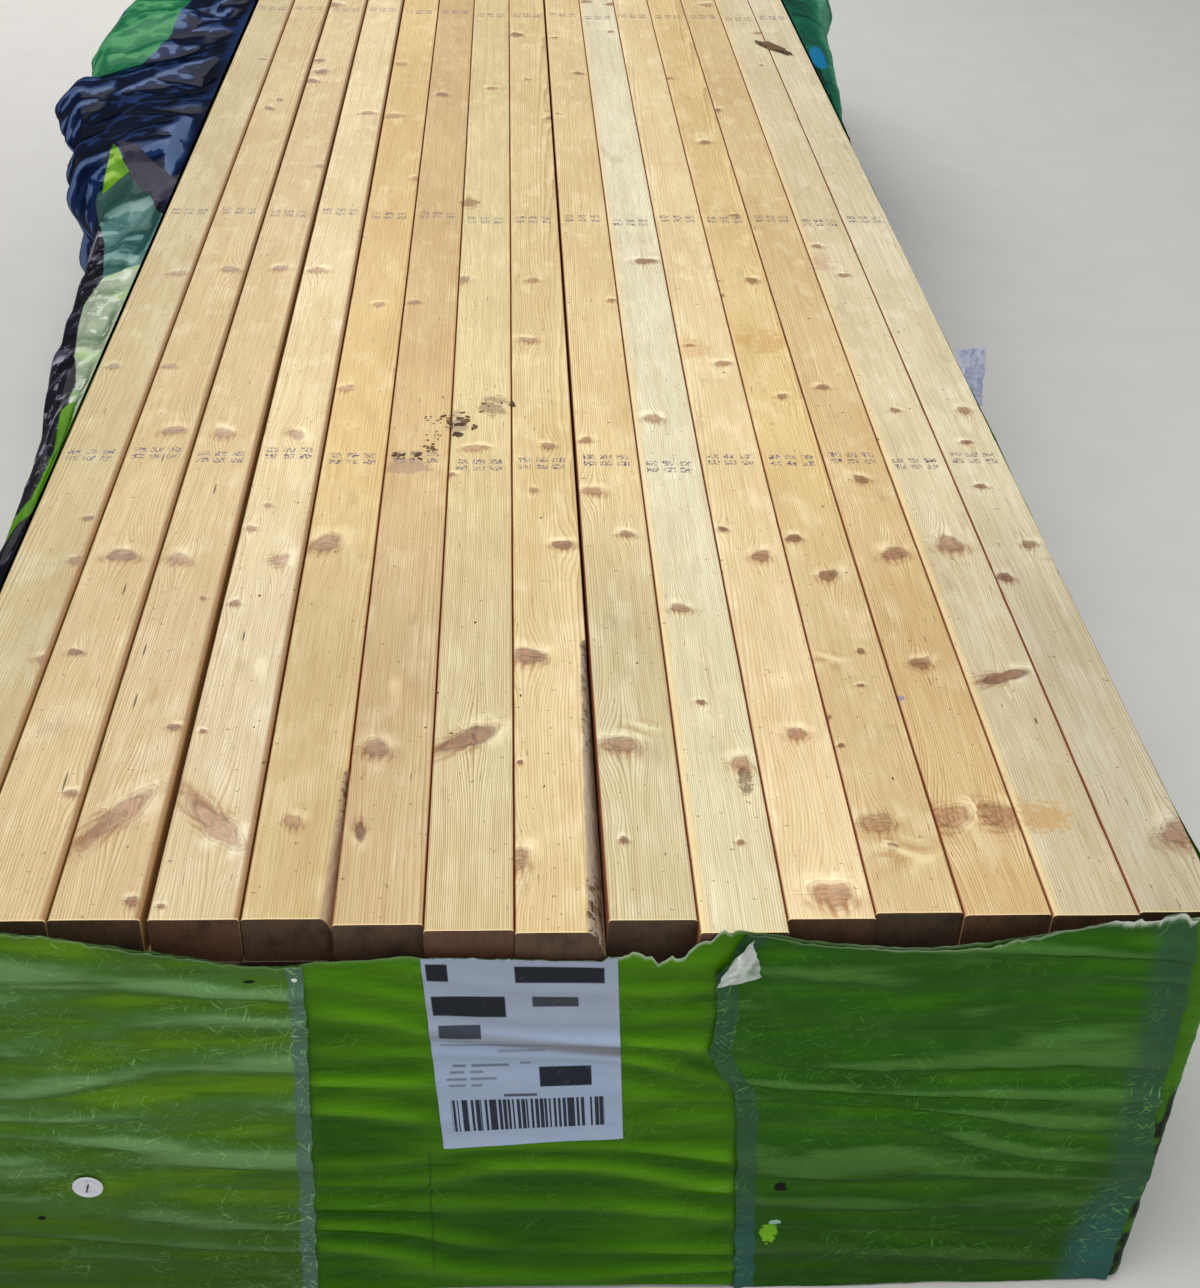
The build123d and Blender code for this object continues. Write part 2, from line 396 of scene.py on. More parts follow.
# %% Stage
world = bpy.data.worlds.new("soft sky")
world.use_nodes = True
world.node_tree.nodes["Background"].inputs["Color"].default_value = (0.97, 0.985, 1.0, 1)
world.node_tree.nodes["Background"].inputs["Strength"].default_value = 0.42
bpy.context.scene.world = world
bpy.context.scene.view_settings.view_transform = "Standard"


def lamp(name, place, aim, size, power, colour=(1.0, 1.0, 1.0)):
    """A square area lamp at a place, turned so that its beam points at the aim."""
    data = bpy.data.lights.new(name, "AREA")
    data.size = size
    data.energy = power
    data.color = colour
    light = put(name, data)
    light.location = place
    beam = np.array(aim) - np.array(place)
    light.rotation_euler = Vector(beam).to_track_quat("-Z", "Y").to_euler()
    return light


lamp("back lamp", (-1.4, 3.4, 3.2), (0, -0.3, 0.4), 2.4, 92, (1.0, 0.96, 0.90))
lamp("top lamp", (-0.5, -2.3, 3.3), (0, -1.5, 0.3), 1.8, 50, (1.0, 0.98, 0.95))
lamp("front lamp", (1.8, -4.6, 1.8), (0, -1.6, 0.3), 2.0, 22)

FLOOR_REACH = 14
reach_x, reach_y = np.meshgrid(*[np.linspace(-FLOOR_REACH, FLOOR_REACH, 3)] * 2)
floor = surface("floor", np.stack([reach_x, reach_y, 0 * reach_x], axis=-1))
floor_paint = Paint("pale floor")
floor_speck = floor_paint.noise(floor_paint.place(), 9.0, 4.0)
floor.data.materials.append(
    floor_paint.finish(floor_paint.mix(floor_speck, (216, 215, 212), (226, 225, 222)), 0.8)
)

# %% [markdown]
# ## Knots
# A knot is a branch cut across. Each was found in the photograph as a pixel, and is
# carried on to the top of the stack by the camera. Its radius is in millimetres, its
# length is how many times longer than wide it is, and its turn is how far that length lies from straight
# along the stud. The tone runs from 0, a pale live knot, to 1, a dark dead one.

# %% Knots, by pixel
KNOTS = [  # pixel across, pixel down, radius, length, turn, tone
    (174, 430, 11, 0.8, 0, 0.6), (224, 433, 11, 0.9, 0, 0.5), (297, 434, 12, 0.6, 70, 0.5),
    (76, 560, 7, 0.8, 0, 0.5), (122, 555, 12, 0.9, 0, 0.7), (180, 559, 10, 1.0, 20, 0.4),
    (281, 560, 11, 0.7, 70, 0.4), (326, 543, 13, 1.2, 10, 0.6), (473, 448, 9, 0.8, 0, 0.4),
    (450, 474, 5, 1.0, 0, 0.9), (549, 446, 8, 0.8, 0, 0.6), (534, 490, 5, 1.0, 0, 0.5),
    (563, 545, 9, 1.0, 0, 0.8), (529, 656, 13, 1.0, 10, 0.7), (75, 652, 6, 0.9, 0, 0.9),
    (48, 658, 8, 0.9, 0, 0.5), (88, 518, 5, 1.0, 0, 0.8), (377, 748, 10, 1.3, 10, 0.5),
    (174, 727, 5, 1.0, 0, 0.8), (203, 731, 3, 1.0, 0, 0.9), (251, 528, 5, 1.0, 0, 0.6),
    (268, 505, 4, 1.0, 0, 0.6), (235, 603, 5, 1.0, 0, 0.8), (203, 598, 3, 1.0, 0, 0.8),
    (653, 418, 11, 0.8, 0, 0.5), (593, 491, 11, 0.8, 0, 0.5), (627, 534, 8, 0.8, 0, 0.6),
    (723, 529, 5, 1.0, 0, 0.9), (761, 556, 9, 1.0, 0, 0.7), (794, 538, 8, 0.9, 0, 0.9),
    (828, 575, 9, 1.0, 0, 0.8), (895, 553, 12, 1.0, 0, 0.6), (861, 479, 8, 1.0, 0, 0.8),
    (950, 544, 15, 0.9, 0, 0.5), (981, 486, 6, 0.9, 0, 0.8), (1029, 544, 7, 1.0, 0, 0.6),
    (1005, 577, 7, 1.2, 0, 0.9), (680, 608, 8, 1.0, 0, 0.6), (861, 651, 4, 1.0, 0, 0.8),
    (861, 685, 3, 1.0, 0, 0.8), (921, 663, 9, 1.0, 0, 0.7), (797, 733, 8, 1.2, 0, 0.5),
    (701, 702, 4, 1.0, 0, 0.9), (620, 744, 14, 0.85, 0, 0.45), (486, 447, 5, 0.8, 0, 0.5),
    (586, 440, 7, 0.9, 0, 0.6), (966, 442, 6, 0.9, 0, 0.8), (964, 410, 8, 0.9, 0, 0.6),
    (895, 410, 6, 0.9, 0, 0.7), (782, 396, 6, 1.0, 0, 0.7), (823, 387, 7, 1.0, 0, 0.7),
    (723, 363, 9, 0.8, 0, 0.5), (741, 763, 9, 1.0, 0, 0.4), (841, 745, 3, 1.0, 0, 0.9),
    (828, 717, 3, 1.0, 0, 0.9), (877, 822, 12, 1.0, 0, 0.3), (833, 894, 14, 1.1, 0, 0.4),
    (953, 817, 13, 1.3, 80, 0.3), (1002, 816, 14, 1.2, 80, 0.4), (1181, 833, 14, 1.2, 0, 0.4),
    (624, 840, 4, 1.0, 0, 0.8), (515, 860, 11, 1.1, 0, 0.5), (520, 762, 3, 1.0, 0, 0.9),
    (741, 842, 3, 1.0, 0, 0.7), (893, 846, 4, 1.0, 0, 0.8), (293, 821, 7, 1.1, 0, 0.3),
    (132, 901, 5, 1.0, 0, 0.7), (161, 906, 3, 1.0, 0, 0.8), (71, 793, 5, 1.0, 0, 0.5),
    (645, 261, 13, 0.7, 0, 0.8), (533, 280, 9, 0.7, 0, 0.4), (529, 340, 11, 0.7, 0, 0.4),
    (752, 280, 9, 0.9, 0, 0.7), (721, 295, 5, 1.0, 0, 0.9), (725, 364, 4, 1.0, 0, 0.6),
    (817, 246, 7, 0.9, 0, 0.6), (844, 275, 7, 0.9, 0, 0.6), (705, 142, 9, 0.9, 0, 0.6),
    (230, 269, 11, 0.8, 0, 0.6), (281, 268, 10, 0.8, 0, 0.6), (178, 273, 9, 0.9, 0, 0.4),
    (318, 270, 10, 0.9, 0, 0.5), (463, 279, 10, 0.9, 0, 0.6), (415, 302, 7, 0.9, 0, 0.6),
    (379, 304, 7, 0.9, 0, 0.5), (323, 166, 9, 0.9, 0, 0.5), (417, 178, 8, 0.9, 0, 0.5),
    (346, 388, 8, 0.9, 0, 0.4), (170, 366, 7, 0.9, 0, 0.5), (113, 366, 7, 0.9, 0, 0.5),
    (550, 118, 8, 0.9, 0, 0.6), (668, 78, 8, 0.8, 0, 0.6), (492, 88, 8, 0.9, 0, 0.5),
    (735, 215, 6, 0.9, 0, 0.7), (690, 345, 5, 0.9, 0, 0.7), (612, 300, 6, 0.9, 0, 0.6),
]
SPINDLES = [  # long cut branches: pixel of one end, pixel of the other, radius, tone
    ((440, 750), (503, 724), 10, 0.75), ((84, 844), (154, 787), 10, 0.35),
    ((192, 800), (245, 852), 10, 0.35), ((985, 682), (1022, 672), 7, 0.8),
    ((360, 822), (361, 842), 4, 0.9),
]


def on_stack(pixels):
    """Where the rays through the pixels meet the top of the stack: across it and along it."""
    return on_level(pixels, STACK_HEIGHT)[:, :2].T


# Six rows, with a column for each knot: across, along, radius in millimetres, length, turn, tone
pixel_across, pixel_down, *shapes = np.array(KNOTS, float).T
seen = np.array([*on_stack(np.stack([pixel_across, pixel_down], -1)), *shapes])
seen[4] = np.radians(seen[4])

from_pixels, to_pixels, radii, tones = zip(*SPINDLES)
lean = on_stack(to_pixels) - on_stack(from_pixels)
halfway = (on_stack(from_pixels) + on_stack(to_pixels)) / 2
long_ones = np.array(
    [*halfway, radii, np.hypot(*lean) / 2 / (np.array(radii) * MM), np.arctan2(*lean), tones]
)

# Beyond the photograph the studs go on, so a few more knots are scattered there, between these bounds
EXTRA_KNOTS = 34
SCATTER = [(-0.51, 0.51), (0.1, 1.75), (4, 12), (0.8, 1.4), (-0.6, 0.6), (0.3, 0.9)]
scatter = np.random.default_rng(11)
scattered = np.array([scatter.uniform(low, high, EXTRA_KNOTS) for low, high in SCATTER])

all_knots = np.concatenate([seen, long_ones, scattered], axis=1)
knot_x, knot_y, knot_radius, knot_length, knot_turn, knot_tone = all_knots
knot_radius = knot_radius * MM

# Curly grain beside some knots, its shimmer painted as pale and dark bands of sheen: its middle as a pixel,
# its width in millimetres.
FIGURES = [
    (258, 668, 26), (905, 856, 30), (398, 690, 24), (640, 728, 20), (1060, 560, 18), (830, 660, 20),
    (150, 690, 18), (930, 250, 16)
]
figure_places = on_stack([pixel for *pixel, _ in FIGURES]).T
FIGURE_WIDTHS = [width for _, _, width in FIGURES]
along_share = (knot_y + STUD_LENGTH / 2) / STUD_LENGTH
stud_at_knot = np.array([
    np.argmin(np.abs(near_middles * (1 - s) + far_middles * s - x)) for x, s in zip(knot_x, along_share)
])
print("knots:", len(knot_x), "per stud:", np.bincount(stud_at_knot, minlength=15))

# %% [markdown]
# ## The top studs
# A planed stud is one profile, a rectangle with eased arrises, carried along its length. Its
# look comes from the tree: growth rings are nested cones round the pith, so a point's ring
# number is its distance from a pith that wanders a little. The plane cuts through them and
# draws the grain. A knot pushes the rings aside, so near one each point looks up its
# ring a little further from the knot. All that is worked out here and kept as facts on the vertices.

# %% Stud profile and length
TOP_COLUMNS, CORNER_COLUMNS, SIDE_COLUMNS, BOTTOM_COLUMNS = 38, 6, 3, 2
PITHS = [  # pith across and below each stud's top in mm, its drift over the stud, millimetres a ring
    (-48, -70, 20, 1.6), (44, -78, -22, 1.7), (-64, -58, 26, 1.6), (-52, -56, 22, 1.7), (46, -72, -28, 1.6),
    (58, -50, 24, 1.7), (-120, -30, 14, 1.7), (34, -84, -30, 1.7), (-62, -60, 26, 1.6), (92, -52, 20, 1.6),
    (-40, -66, 28, 1.7), (36, -58, -34, 1.7), (-58, -50, 30, 1.6), (-70, -56, 22, 1.6), (62, -60, -20, 1.6),
]
STUD_TONES = [  # each stud's own tint, as how many times the usual red, green and blue
    (0.84, 0.90, 0.88), (0.99, 1.01, 0.99), (0.98, 1.01, 1.04), (1.05, 1.13, 1.25), (0.92, 0.92, 0.81),
    (0.88, 0.85, 0.80), (1.04, 1.07, 1.00), (1.16, 1.19, 1.15), (0.99, 1.09, 1.13), (1.20, 1.25, 1.25),
    (1.25, 1.25, 1.25), (1.06, 1.09, 1.06), (1.06, 1.05, 0.97), (0.97, 1.03, 1.12), (0.85, 0.91, 1.02),
]
PAINTED_SUNLIGHT = [  # painted sunlight: how many times brighter it is again from a metre on, standing in for the sun on the top
    (1.11, 1.11, 1.07), (1.05, 1.03, 0.94), (1.17, 1.18, 1.12), (1.20, 1.18, 1.06), (1.27, 1.20, 1.06),
    (1.21, 1.15, 1.00), (1.20, 1.18, 1.05), (1.04, 1.03, 0.95), (1.30, 1.18, 1.02), (1.12, 1.16, 1.26),
    (1.06, 1.08, 1.04), (1.20, 1.18, 1.06), (1.15, 1.18, 1.22), (1.26, 1.27, 1.24), (1.44, 1.47, 1.46),
]
# How strongly each stud's rings show, and where its colour lies between pale and honey
GRAIN = [0.8, 0.8, 0.9, 0.8, 0.55, 0.65, 1.35, 0.75, 1.0, 0.95, 0.6, 0.7, 1.0, 0.8, 0.8]
TINTS = [0.55, 0.5, 0.6, 0.5, 0.55, 0.5, 0.25, 0.5, 0.45, 0.0, 0.4, 0.6, 0.62, 0.3, 0.25]


def stud_profile(cut_across, cut_down, belly):
    """The outline of a stud, clockwise from its top left arris, as offsets from its top middle.

    The top right corner is cut by a curve from cut_across on the top to cut_down on the side:
    a quadratic Bezier whose middle point is the corner itself for an eased arris, and nearer
    the chord for wane. Every row of the grid is one such outline.
    """
    half, rows = STUD_WIDTH / 2, len(cut_across)
    spread = np.linspace(0, 1, TOP_COLUMNS)[None, :]
    top_x = -half + ARRIS + spread * (2 * half - ARRIS - cut_across[:, None])
    top = np.stack([top_x, np.zeros_like(top_x)], -1)
    t = np.linspace(0, 1, CORNER_COLUMNS + 2)[None, 1:-1]
    a, b = cut_across[:, None], cut_down[:, None]
    control_x, control_z = -a * 0.42 * belly[:, None], -b * 0.12 * belly[:, None]
    corner_x = (1 - t) ** 2 * -a + 2 * t * (1 - t) * control_x
    corner_z = 2 * t * (1 - t) * control_z + t**2 * -b
    corner = np.stack([half + corner_x, corner_z], -1)
    side_z = -b - np.linspace(0, 1, SIDE_COLUMNS)[None, :] * (STUD_THICKNESS - ARRIS - b)
    side = np.stack([np.full_like(side_z, half), side_z], -1)
    quarter = np.linspace(0, np.pi / 2, 5)[None, 1:-1]
    c, s = ARRIS * np.cos(quarter), ARRIS * np.sin(quarter)
    right, low = half - ARRIS, ARRIS - STUD_THICKNESS
    low_right = np.stack([right + c, low - s], -1)
    bottom_x = np.linspace(right, -right, BOTTOM_COLUMNS)[None, :]
    bottom = np.stack([bottom_x, np.full_like(bottom_x, -STUD_THICKNESS)], -1)
    low_left = np.stack([-right - s, low - c], -1)
    left_z = np.linspace(low, -ARRIS, SIDE_COLUMNS)[None, :]
    left = np.stack([np.full_like(left_z, -half), left_z], -1)
    top_left = np.stack([-right - c, -ARRIS + s], -1)
    same = (low_right, bottom, low_left, left, top_left)
    rest = [np.broadcast_to(part, (rows, *part.shape[1:])) for part in same]
    return np.concatenate([top, corner, side, *rest], axis=1)


PLAIN_STEP, KNOT_STEP, WANE_STEP = 24 * MM, 2.8 * MM, 4 * MM


def stations(length, centres, radii):
    """Distances along a stud at which its outline is repeated: plain steps, and small ones near a knot."""
    steps = [np.arange(0, length, PLAIN_STEP), [length]]
    for centre, radius in zip(centres, radii):
        reach = radius * 2.2 + 6 * MM
        steps.append(np.arange(centre - reach, centre + reach, KNOT_STEP))
    places = np.unique(np.concatenate(steps).clip(0, length).round(4))
    keep = np.concatenate([[True], np.diff(places) > KNOT_STEP / 2])
    keep[-1] = True
    return places[keep]


def stud(number):
    """One top stud: its outline carried along its length, a little askew, with the facts of its grain.

    Ring number = distance from the pith over the ring spacing, looked up at a place that is
    drawn towards each nearby knot by a bell curve, plus a bell curve that closes rings round the knot.
    """
    i = number - 1
    near_x, far_x, out = near_middles[i], far_middles[i], STAND_OUT[i]
    start = -STUD_LENGTH / 2 - out
    mine = stud_at_knot == i
    askew = np.arctan2(near_x - far_x, STUD_LENGTH)
    centres = knot_y[mine] - start
    middle_there = near_x + (far_x - near_x) * centres / STUD_LENGTH
    radius = knot_radius[mine]
    reach = np.maximum(radius, radius * knot_length[mine] * np.abs(np.cos(knot_turn[mine])))
    along = stations(STUD_LENGTH, centres, reach)
    if number in WANES:
        wane_length, wane_width, wane_depth = WANES[number]
        along = np.unique(
            np.concatenate([along, np.arange(0, wane_length + 4 * WANE_STEP, WANE_STEP)]).round(4)
        )
        share = (1 + (WANE_TIP - 1) * along / wane_length) * ease(wane_length + 9 * MM, wane_length, along)
        ragged = 1 + 0.07 * rough(along * 60, 0, 70 + number)
        cut_across = np.maximum(ARRIS, wane_width * share * ragged)
        cut_down = np.maximum(ARRIS, wane_depth * share)
        belly = ease(0, 0.3, share)
    else:
        cut_across = cut_down = np.full(len(along), ARRIS)
        belly = np.zeros(len(along))
        share = belly
    outline = stud_profile(cut_across, cut_down, belly)
    x, z = outline[..., 0], outline[..., 1]
    y = np.broadcast_to(along[:, None], x.shape)

    across, below = x * 1000, z * 1000
    length = y * 1000
    look_x, look_y = across.copy(), length.copy()
    bump, figure, tone, turn_round = np.zeros((4, *x.shape))
    nearest = np.full_like(x, 4.0)
    for kx, ky, radius, stretch, angle, dark in zip(
        (knot_x[mine] - middle_there) * 1000, centres * 1000,
        knot_radius[mine] * 1000, knot_length[mine], knot_turn[mine], knot_tone[mine],
    ):
        dx, dy = across - kx, length - ky
        lengthwise = dy * np.cos(angle) + dx * np.sin(angle)
        crosswise = dx * np.cos(angle) - dy * np.sin(angle)
        distance = np.hypot(crosswise / radius, lengthwise / (radius * stretch))
        distance = distance + 0.004 * np.maximum(0, -below) ** 1.5
        way = np.arctan2(lengthwise, crosswise)
        uneven = 0.12 * np.sin(2 * way + kx) + 0.09 * np.sin(3 * way + ky) + 0.05 * np.sin(5 * way)
        distance = distance * (1 + uneven)
        pull = np.exp(-((dx / (radius * 1.9)) ** 2) - (dy / (radius * (1.8 + stretch) * 1.5)) ** 2)
        look_x = look_x - dx * pull * 0.85
        bump += 1.5 * pull * (radius / 9)
        closer = distance < nearest
        tone = np.where(closer, dark, tone)
        turn_round = np.where(closer, way, turn_round)
        nearest = np.minimum(nearest, distance)
    for (fx, fy), width in zip(figure_places, FIGURE_WIDTHS):
        stud_x = near_x + (far_x - near_x) * (fy - start) / STUD_LENGTH
        dx, dy = across - (fx - stud_x) * 1000, length - (fy - start) * 1000
        bell = np.exp(-((dx / width) ** 2) - (dy / (width * 0.8)) ** 2)
        figure += bell * np.sin(dy / 3.4 + 2.2 * np.sin(dx / 11))
        bump += bell * 0.35 * np.sin(dx / 9 + fx)
    pith_x, pith_z, drift, spacing = PITHS[i]
    seed = 200 + 17 * number
    sway = length / 1000
    at_x = pith_x + drift * (y / STUD_LENGTH - 0.5) + 4 * wander(sway * 0.8, 0, seed)
    at_z = pith_z + 0.8 * drift * (y / STUD_LENGTH - 0.5) + 2.6 * wander(sway * 0.9, 3, seed + 1)
    ring = np.hypot(look_x - at_x, below - at_z) / spacing + bump
    ring = ring + 0.16 * wander(sway * 7, across / 30, seed + 2)
    ring = ring + 0.07 * wander(sway * 40, across / 10, seed + 3)

    lift = -0.25 * MM * ease(1.15, 0.8, nearest) + 0.12 * MM * wander(sway * 14, across / 14, seed + 5)
    on_top = ease(-ARRIS * 0.7, 0, z)
    z = z + lift * on_top
    place = np.arange(x.shape[1])
    at_corner = (place >= TOP_COLUMNS - 1) * (place < TOP_COLUMNS + CORNER_COLUMNS + 1)
    bark = ease(0.02, 0.3, share)[:, None] * at_corner
    x = x + bark * 0.5 * MM * rough(length / 9, below / 5, seed + 8)
    # The arrises were knocked here and there on the way, which leaves small dents.
    dent = ease(0.62, 0.9, wander(length / 38, np.sign(x) * 5 + number, seed + 6))
    edge = ease(STUD_WIDTH / 2 - 5 * MM, STUD_WIDTH / 2 - 1 * MM, np.abs(x)) * ease(-6 * MM, -0.5 * MM, z)
    z = z - dent * edge * 0.7 * MM
    world_x = near_x + x * np.cos(askew) - y * np.sin(askew)
    world_y = start + x * np.sin(askew) + y * np.cos(askew)
    grid = np.stack([world_x, world_y, STACK_HEIGHT + z], -1)
    facts = {
        "ring": ring, "knot": nearest, "tone": tone, "round": turn_round,
        "across": across / 1000, "along": y, "tint": TINTS[i], "bark": bark, "stud": number,
        "figure": figure, "grain": GRAIN[i],
    }
    # Painted light: from a metre on each stud is brightened, standing in for sunlight
    sunny = ease(0.35, 0.8, y)
    for channel, own, sunlit_gain in zip(("red", "green", "blue"), STUD_TONES[i], PAINTED_SUNLIGHT[i]):
        facts[channel] = own * (1 + (sunlit_gain - 1) * sunny)
    return surface(f"top_stud_{number:02d}", grid, facts, wrap=True, caps=True, sharp=50)


# %% [markdown]
# ## Pine
# Planed pine is a pale honey colour between darker lines of late wood, each of which
# deepens slowly and ends sharply. A knot is redder, has rings of its own, and a dead one has a black
# rim. The ink stamps of the mill stay generic: rows of small blue grey dashes, no lettering.

# %% Stains and cracks on the top studs
STAINS = [  # place as a pixel, half its size across and along in metres, its strength and colour
    ((457, 424), 0.011, 0.030, 0.75, (168, 150, 122)), ((494, 405), 0.018, 0.026, 0.7, (142, 112, 80)),
    ((408, 466), 0.024, 0.020, 0.6, (162, 128, 108)), ((471, 203), 0.016, 0.020, 0.8, (150, 100, 50)),
    ((761, 341), 0.032, 0.040, 0.42, (206, 150, 60)), ((1044, 816), 0.023, 0.023, 0.55, (198, 148, 64)),
    ((692, 348), 0.024, 0.030, 0.35, (206, 150, 70)), ((900, 698), 0.004, 0.004, 0.8, (140, 130, 160)),
    ((820, 262), 0.022, 0.030, 0.35, (196, 120, 90)), ((747, 782), 0.007, 0.024, 0.7, (110, 72, 46)),
]
SLITS = [  # short drying cracks: place as a pixel and half the length in metres
    ((124.6, 589), 0.014), ((144.7, 650), 0.012), ((135.3, 701), 0.014), ((243.8, 636), 0.010),
    ((65, 782), 0.017), ((100.5, 743), 0.005), ((1036, 721), 0.006), ((163, 458), 0.012),
    ((215, 489), 0.014),
]
SLIT_WIDTH = 1.1 * MM


def on_top(marks):
    """The same marks with each one's pixel turned into a place on top of the stack."""
    places = zip(*on_stack([mark[0] for mark in marks]))
    return [((float(x), float(y), 0.0), *mark[1:]) for (x, y), mark in zip(places, marks)]


def soiled(paint, colour, place, seeded, fibre):
    """Handling marks on the studs: a film of dirt, dark specks, blotched stains and short drying cracks."""
    grime = paint.noise(seeded, (26.0, 9.0, 26.0), 5.0, 0.62).step(0.62, 0.74)
    colour = paint.mix(grime * 0.22, colour, (120, 96, 66))
    speckle = paint.noise(seeded, 190.0, 2.0).step(0.70, 0.75)
    colour = paint.mix(speckle * 0.55, colour, (98, 68, 42))
    unevenly = (paint.noise(place, 90.0, 4.0, 0.7) - 0.5) * 3.6
    mottled = 0.75 + fibre * 0.5
    for centre, wide, long, deep, tone in on_top(STAINS):
        stain = (paint.away(place, centre, (wide, long, 0)) * 0.6 + unevenly).step(0.75, 0.2) * deep
        colour = paint.mix(stain * mottled, colour, tone)
    for centre, half in on_top(SLITS):
        slit = paint.away(place, centre, (SLIT_WIDTH, half, 0)).step(1.0, 0.35)
        colour = paint.mix(slit * 0.85, colour, (54, 36, 24))
    return colour


# %% Planed wood and sawn ends


def planed(paint, place, number, ring, tint, strength):
    """Planed wood from its ring numbers: late wood deepens slowly through each ring and ends sharply.

    Noise stretched along the stud gives the fibres, the streaks and the fine cracks, and each
    stud's number moves it to a part of the noise of its own.
    """
    offset = paint.vector(0.0, number * 3.7, number * 1.3)
    seeded = paint.vectors("ADD", place, offset)
    ring = ring + (paint.noise(seeded, (150.0, 24.0, 150.0), 2.0) - 0.5) * 0.45
    width = paint.noise(paint.vector(ring.floor() * 0.37, number, 0.0), 3.1, 0.0)
    late = (ring + width * 0.5).fraction()
    line = late.power(2.6) * late.step(1.0, 0.95)
    fibre = paint.noise(seeded, (900.0, 16.0, 900.0), 3.0, 0.65)
    streak = paint.noise(seeded, (140.0, 3.0, 140.0), 2.0)
    patch = paint.noise(seeded, (12.0, 3.4, 12.0), 3.0)
    painted_sheen = paint.noise(seeded, (34.0, 17.0, 34.0), 2.0)
    check = paint.noise(seeded, (420.0, 30.0, 420.0), 1.0).step(0.755, 0.785)
    honey = paint.mix(tint, (236, 226, 190), (228, 192, 130))
    ripe = paint.mix(tint, (214, 200, 160), (208, 166, 100))
    deeper = paint.mix(tint, (160, 142, 104), (172, 122, 66))
    strength = (0.30 + width * 0.95) * line * (0.35 + streak * 0.9 + fibre * 0.5) * strength
    colour = paint.mix(patch.step(0.36, 0.62) * 0.55, honey, ripe)
    # Painted sheen: pale shimmering patches over the grain
    colour = paint.mix(painted_sheen.step(0.5, 0.72) * 0.45, colour, (252, 236, 200))
    colour = paint.mix(streak.step(0.45, 0.75) * 0.22, colour, (204, 158, 92))
    colour = paint.mix(strength, colour, deeper)
    colour = paint.mix((fibre - 0.5) * 1.3 + 0.12, colour, (160, 118, 70))
    colour = paint.mix(check * 0.6, colour, (122, 78, 44))
    relief = line * 0.35 + fibre * 0.5 - check
    return colour, seeded, line, fibre, streak, relief


def sawn_end(paint, seeded, number, line):
    """End grain: sawn across, darker as end grain is and darker again as painted shade, with the saw's lines
    and the rings. Gives its colour and the lines.
    """
    saw = paint.noise(seeded, (420.0, 60.0, 50.0), 3.0)
    dull = (number * 4.31).sine() * 0.5 + 0.5
    pale, dark = paint.mix(dull, (112, 78, 56), (94, 76, 56)), paint.mix(dull, (82, 52, 38), (66, 52, 40))
    ends = paint.mix(line * 0.45, paint.mix(saw, pale, dark), (44, 30, 20))
    mottle = paint.noise(seeded, 42.0, 4.0, 0.6)
    ends = paint.mix(mottle.step(0.5, 0.72) * 0.5, ends, (106, 74, 54))
    return paint.mix(mottle.step(0.48, 0.3) * 0.55, ends, (42, 32, 25)), saw


def wood_shaders(paint, colour, roughness, relief, ends, saw, line, facing, bark=None, wane=None, grit=None):
    """Planed faces, waned corners and sawn ends as three shaders, blended by what each place is."""
    constants = {"height": 0.35 * MM, "Specular_IOR_Level": 0.42}
    paint.finish(colour, roughness.clamp(), relief, **constants)
    faces = paint.shader
    if bark is not None:
        faces = paint.blend(bark, faces, paint.another(wane, 0.78, grit * 3.0, **constants))
    sawn = facing[1].size().step(0.75, 0.9)
    paint.blend(sawn, faces, paint.another(ends, 0.58, saw * 3.0 + line * 0.35, **constants))
    return paint.material


# %% Knots


def knotted(paint, colour, place, number):
    """Knots, from each place's distance to the nearest one as a share of its size, and the way round it.

    The grain dives beside a knot, shown as a painted sheen on the side away from the eye and painted
    shade with hatching on the near side. The heart has rings, smears, a split along it and, where it is dead,
    a dark rim.
    """
    knot, tone, way = map(paint.fact, ("knot", "tone", "round"))
    wobble = paint.noise(place, (90.0, 60.0, 90.0), 2.0)
    loose = wobble - 0.5
    rim = knot + loose * 0.35
    beyond, beside = knot * way.sine(), knot * (way + 1.5708).sine()
    inside = rim.step(1.22, 0.70)
    curl = paint.noise(place, (60.0, 20.0, 60.0), 3.0, 0.6).step(0.36, 0.62)
    # Painted sheen, pale on the knot's far side, and painted shade with hatching on its near side
    eye = rim.step(2.8, 1.1) * (beyond + loose * 2.2).step(-0.1, 1.0) * curl
    colour = paint.mix(eye * 0.75, colour, (252, 234, 194))
    under = rim.step(2.4, 1.0) * (beyond + loose * 1.5).step(0.1, -0.9)
    hatch = ((beside * 9.0 + wobble * 6.0).sine() * 0.5 + 0.5).power(1.6)
    colour = paint.mix(under * (0.2 + hatch * 0.75), colour, (164, 116, 70))
    wrap = (rim * 15.0 + wobble * 4.0).sine().step(0.2, 0.95) * rim.step(1.9, 1.2)
    colour = paint.mix(wrap * 0.32, colour, (136, 86, 46))
    rings = (rim * 17.0 + wobble * 9.0).sine() * 0.5 + 0.5
    heart = paint.mix(rings * 0.5, paint.mix(tone, (210, 160, 122), (136, 84, 54)), (132, 84, 50))
    smear = paint.noise(paint.vector(beside * 1.6 + number, beyond * 4.2, wobble), 1.0, 3.0)
    heart = paint.mix(smear.step(0.42, 0.62) * 0.65, heart, (100, 60, 36))
    split = (beyond + loose * 0.6).size().step(0.14, 0.05) * beside.size().step(0.85, 0.5)
    heart = paint.mix(split * tone.step(0.45, 0.6) * 0.8, heart, (58, 34, 22))
    colour = paint.mix(inside * (tone * 0.4 + 0.55), colour, heart)
    edge = rim.step(0.70, 0.95) * rim.step(1.22, 1.0) * (tone.step(0.3, 0.9) * 0.6 + 0.4)
    edge = edge * (0.45 + smear.step(0.35, 0.6) * 0.55)
    return paint.mix(edge * 0.6, colour, (84, 48, 30)), inside


# %% Stamps and wane
STAMP_ROWS = (0.739, 1.4745, 2.568)  # metres from the near end
STAMP_PITCH = 0.019  # from one group of dashes to the next


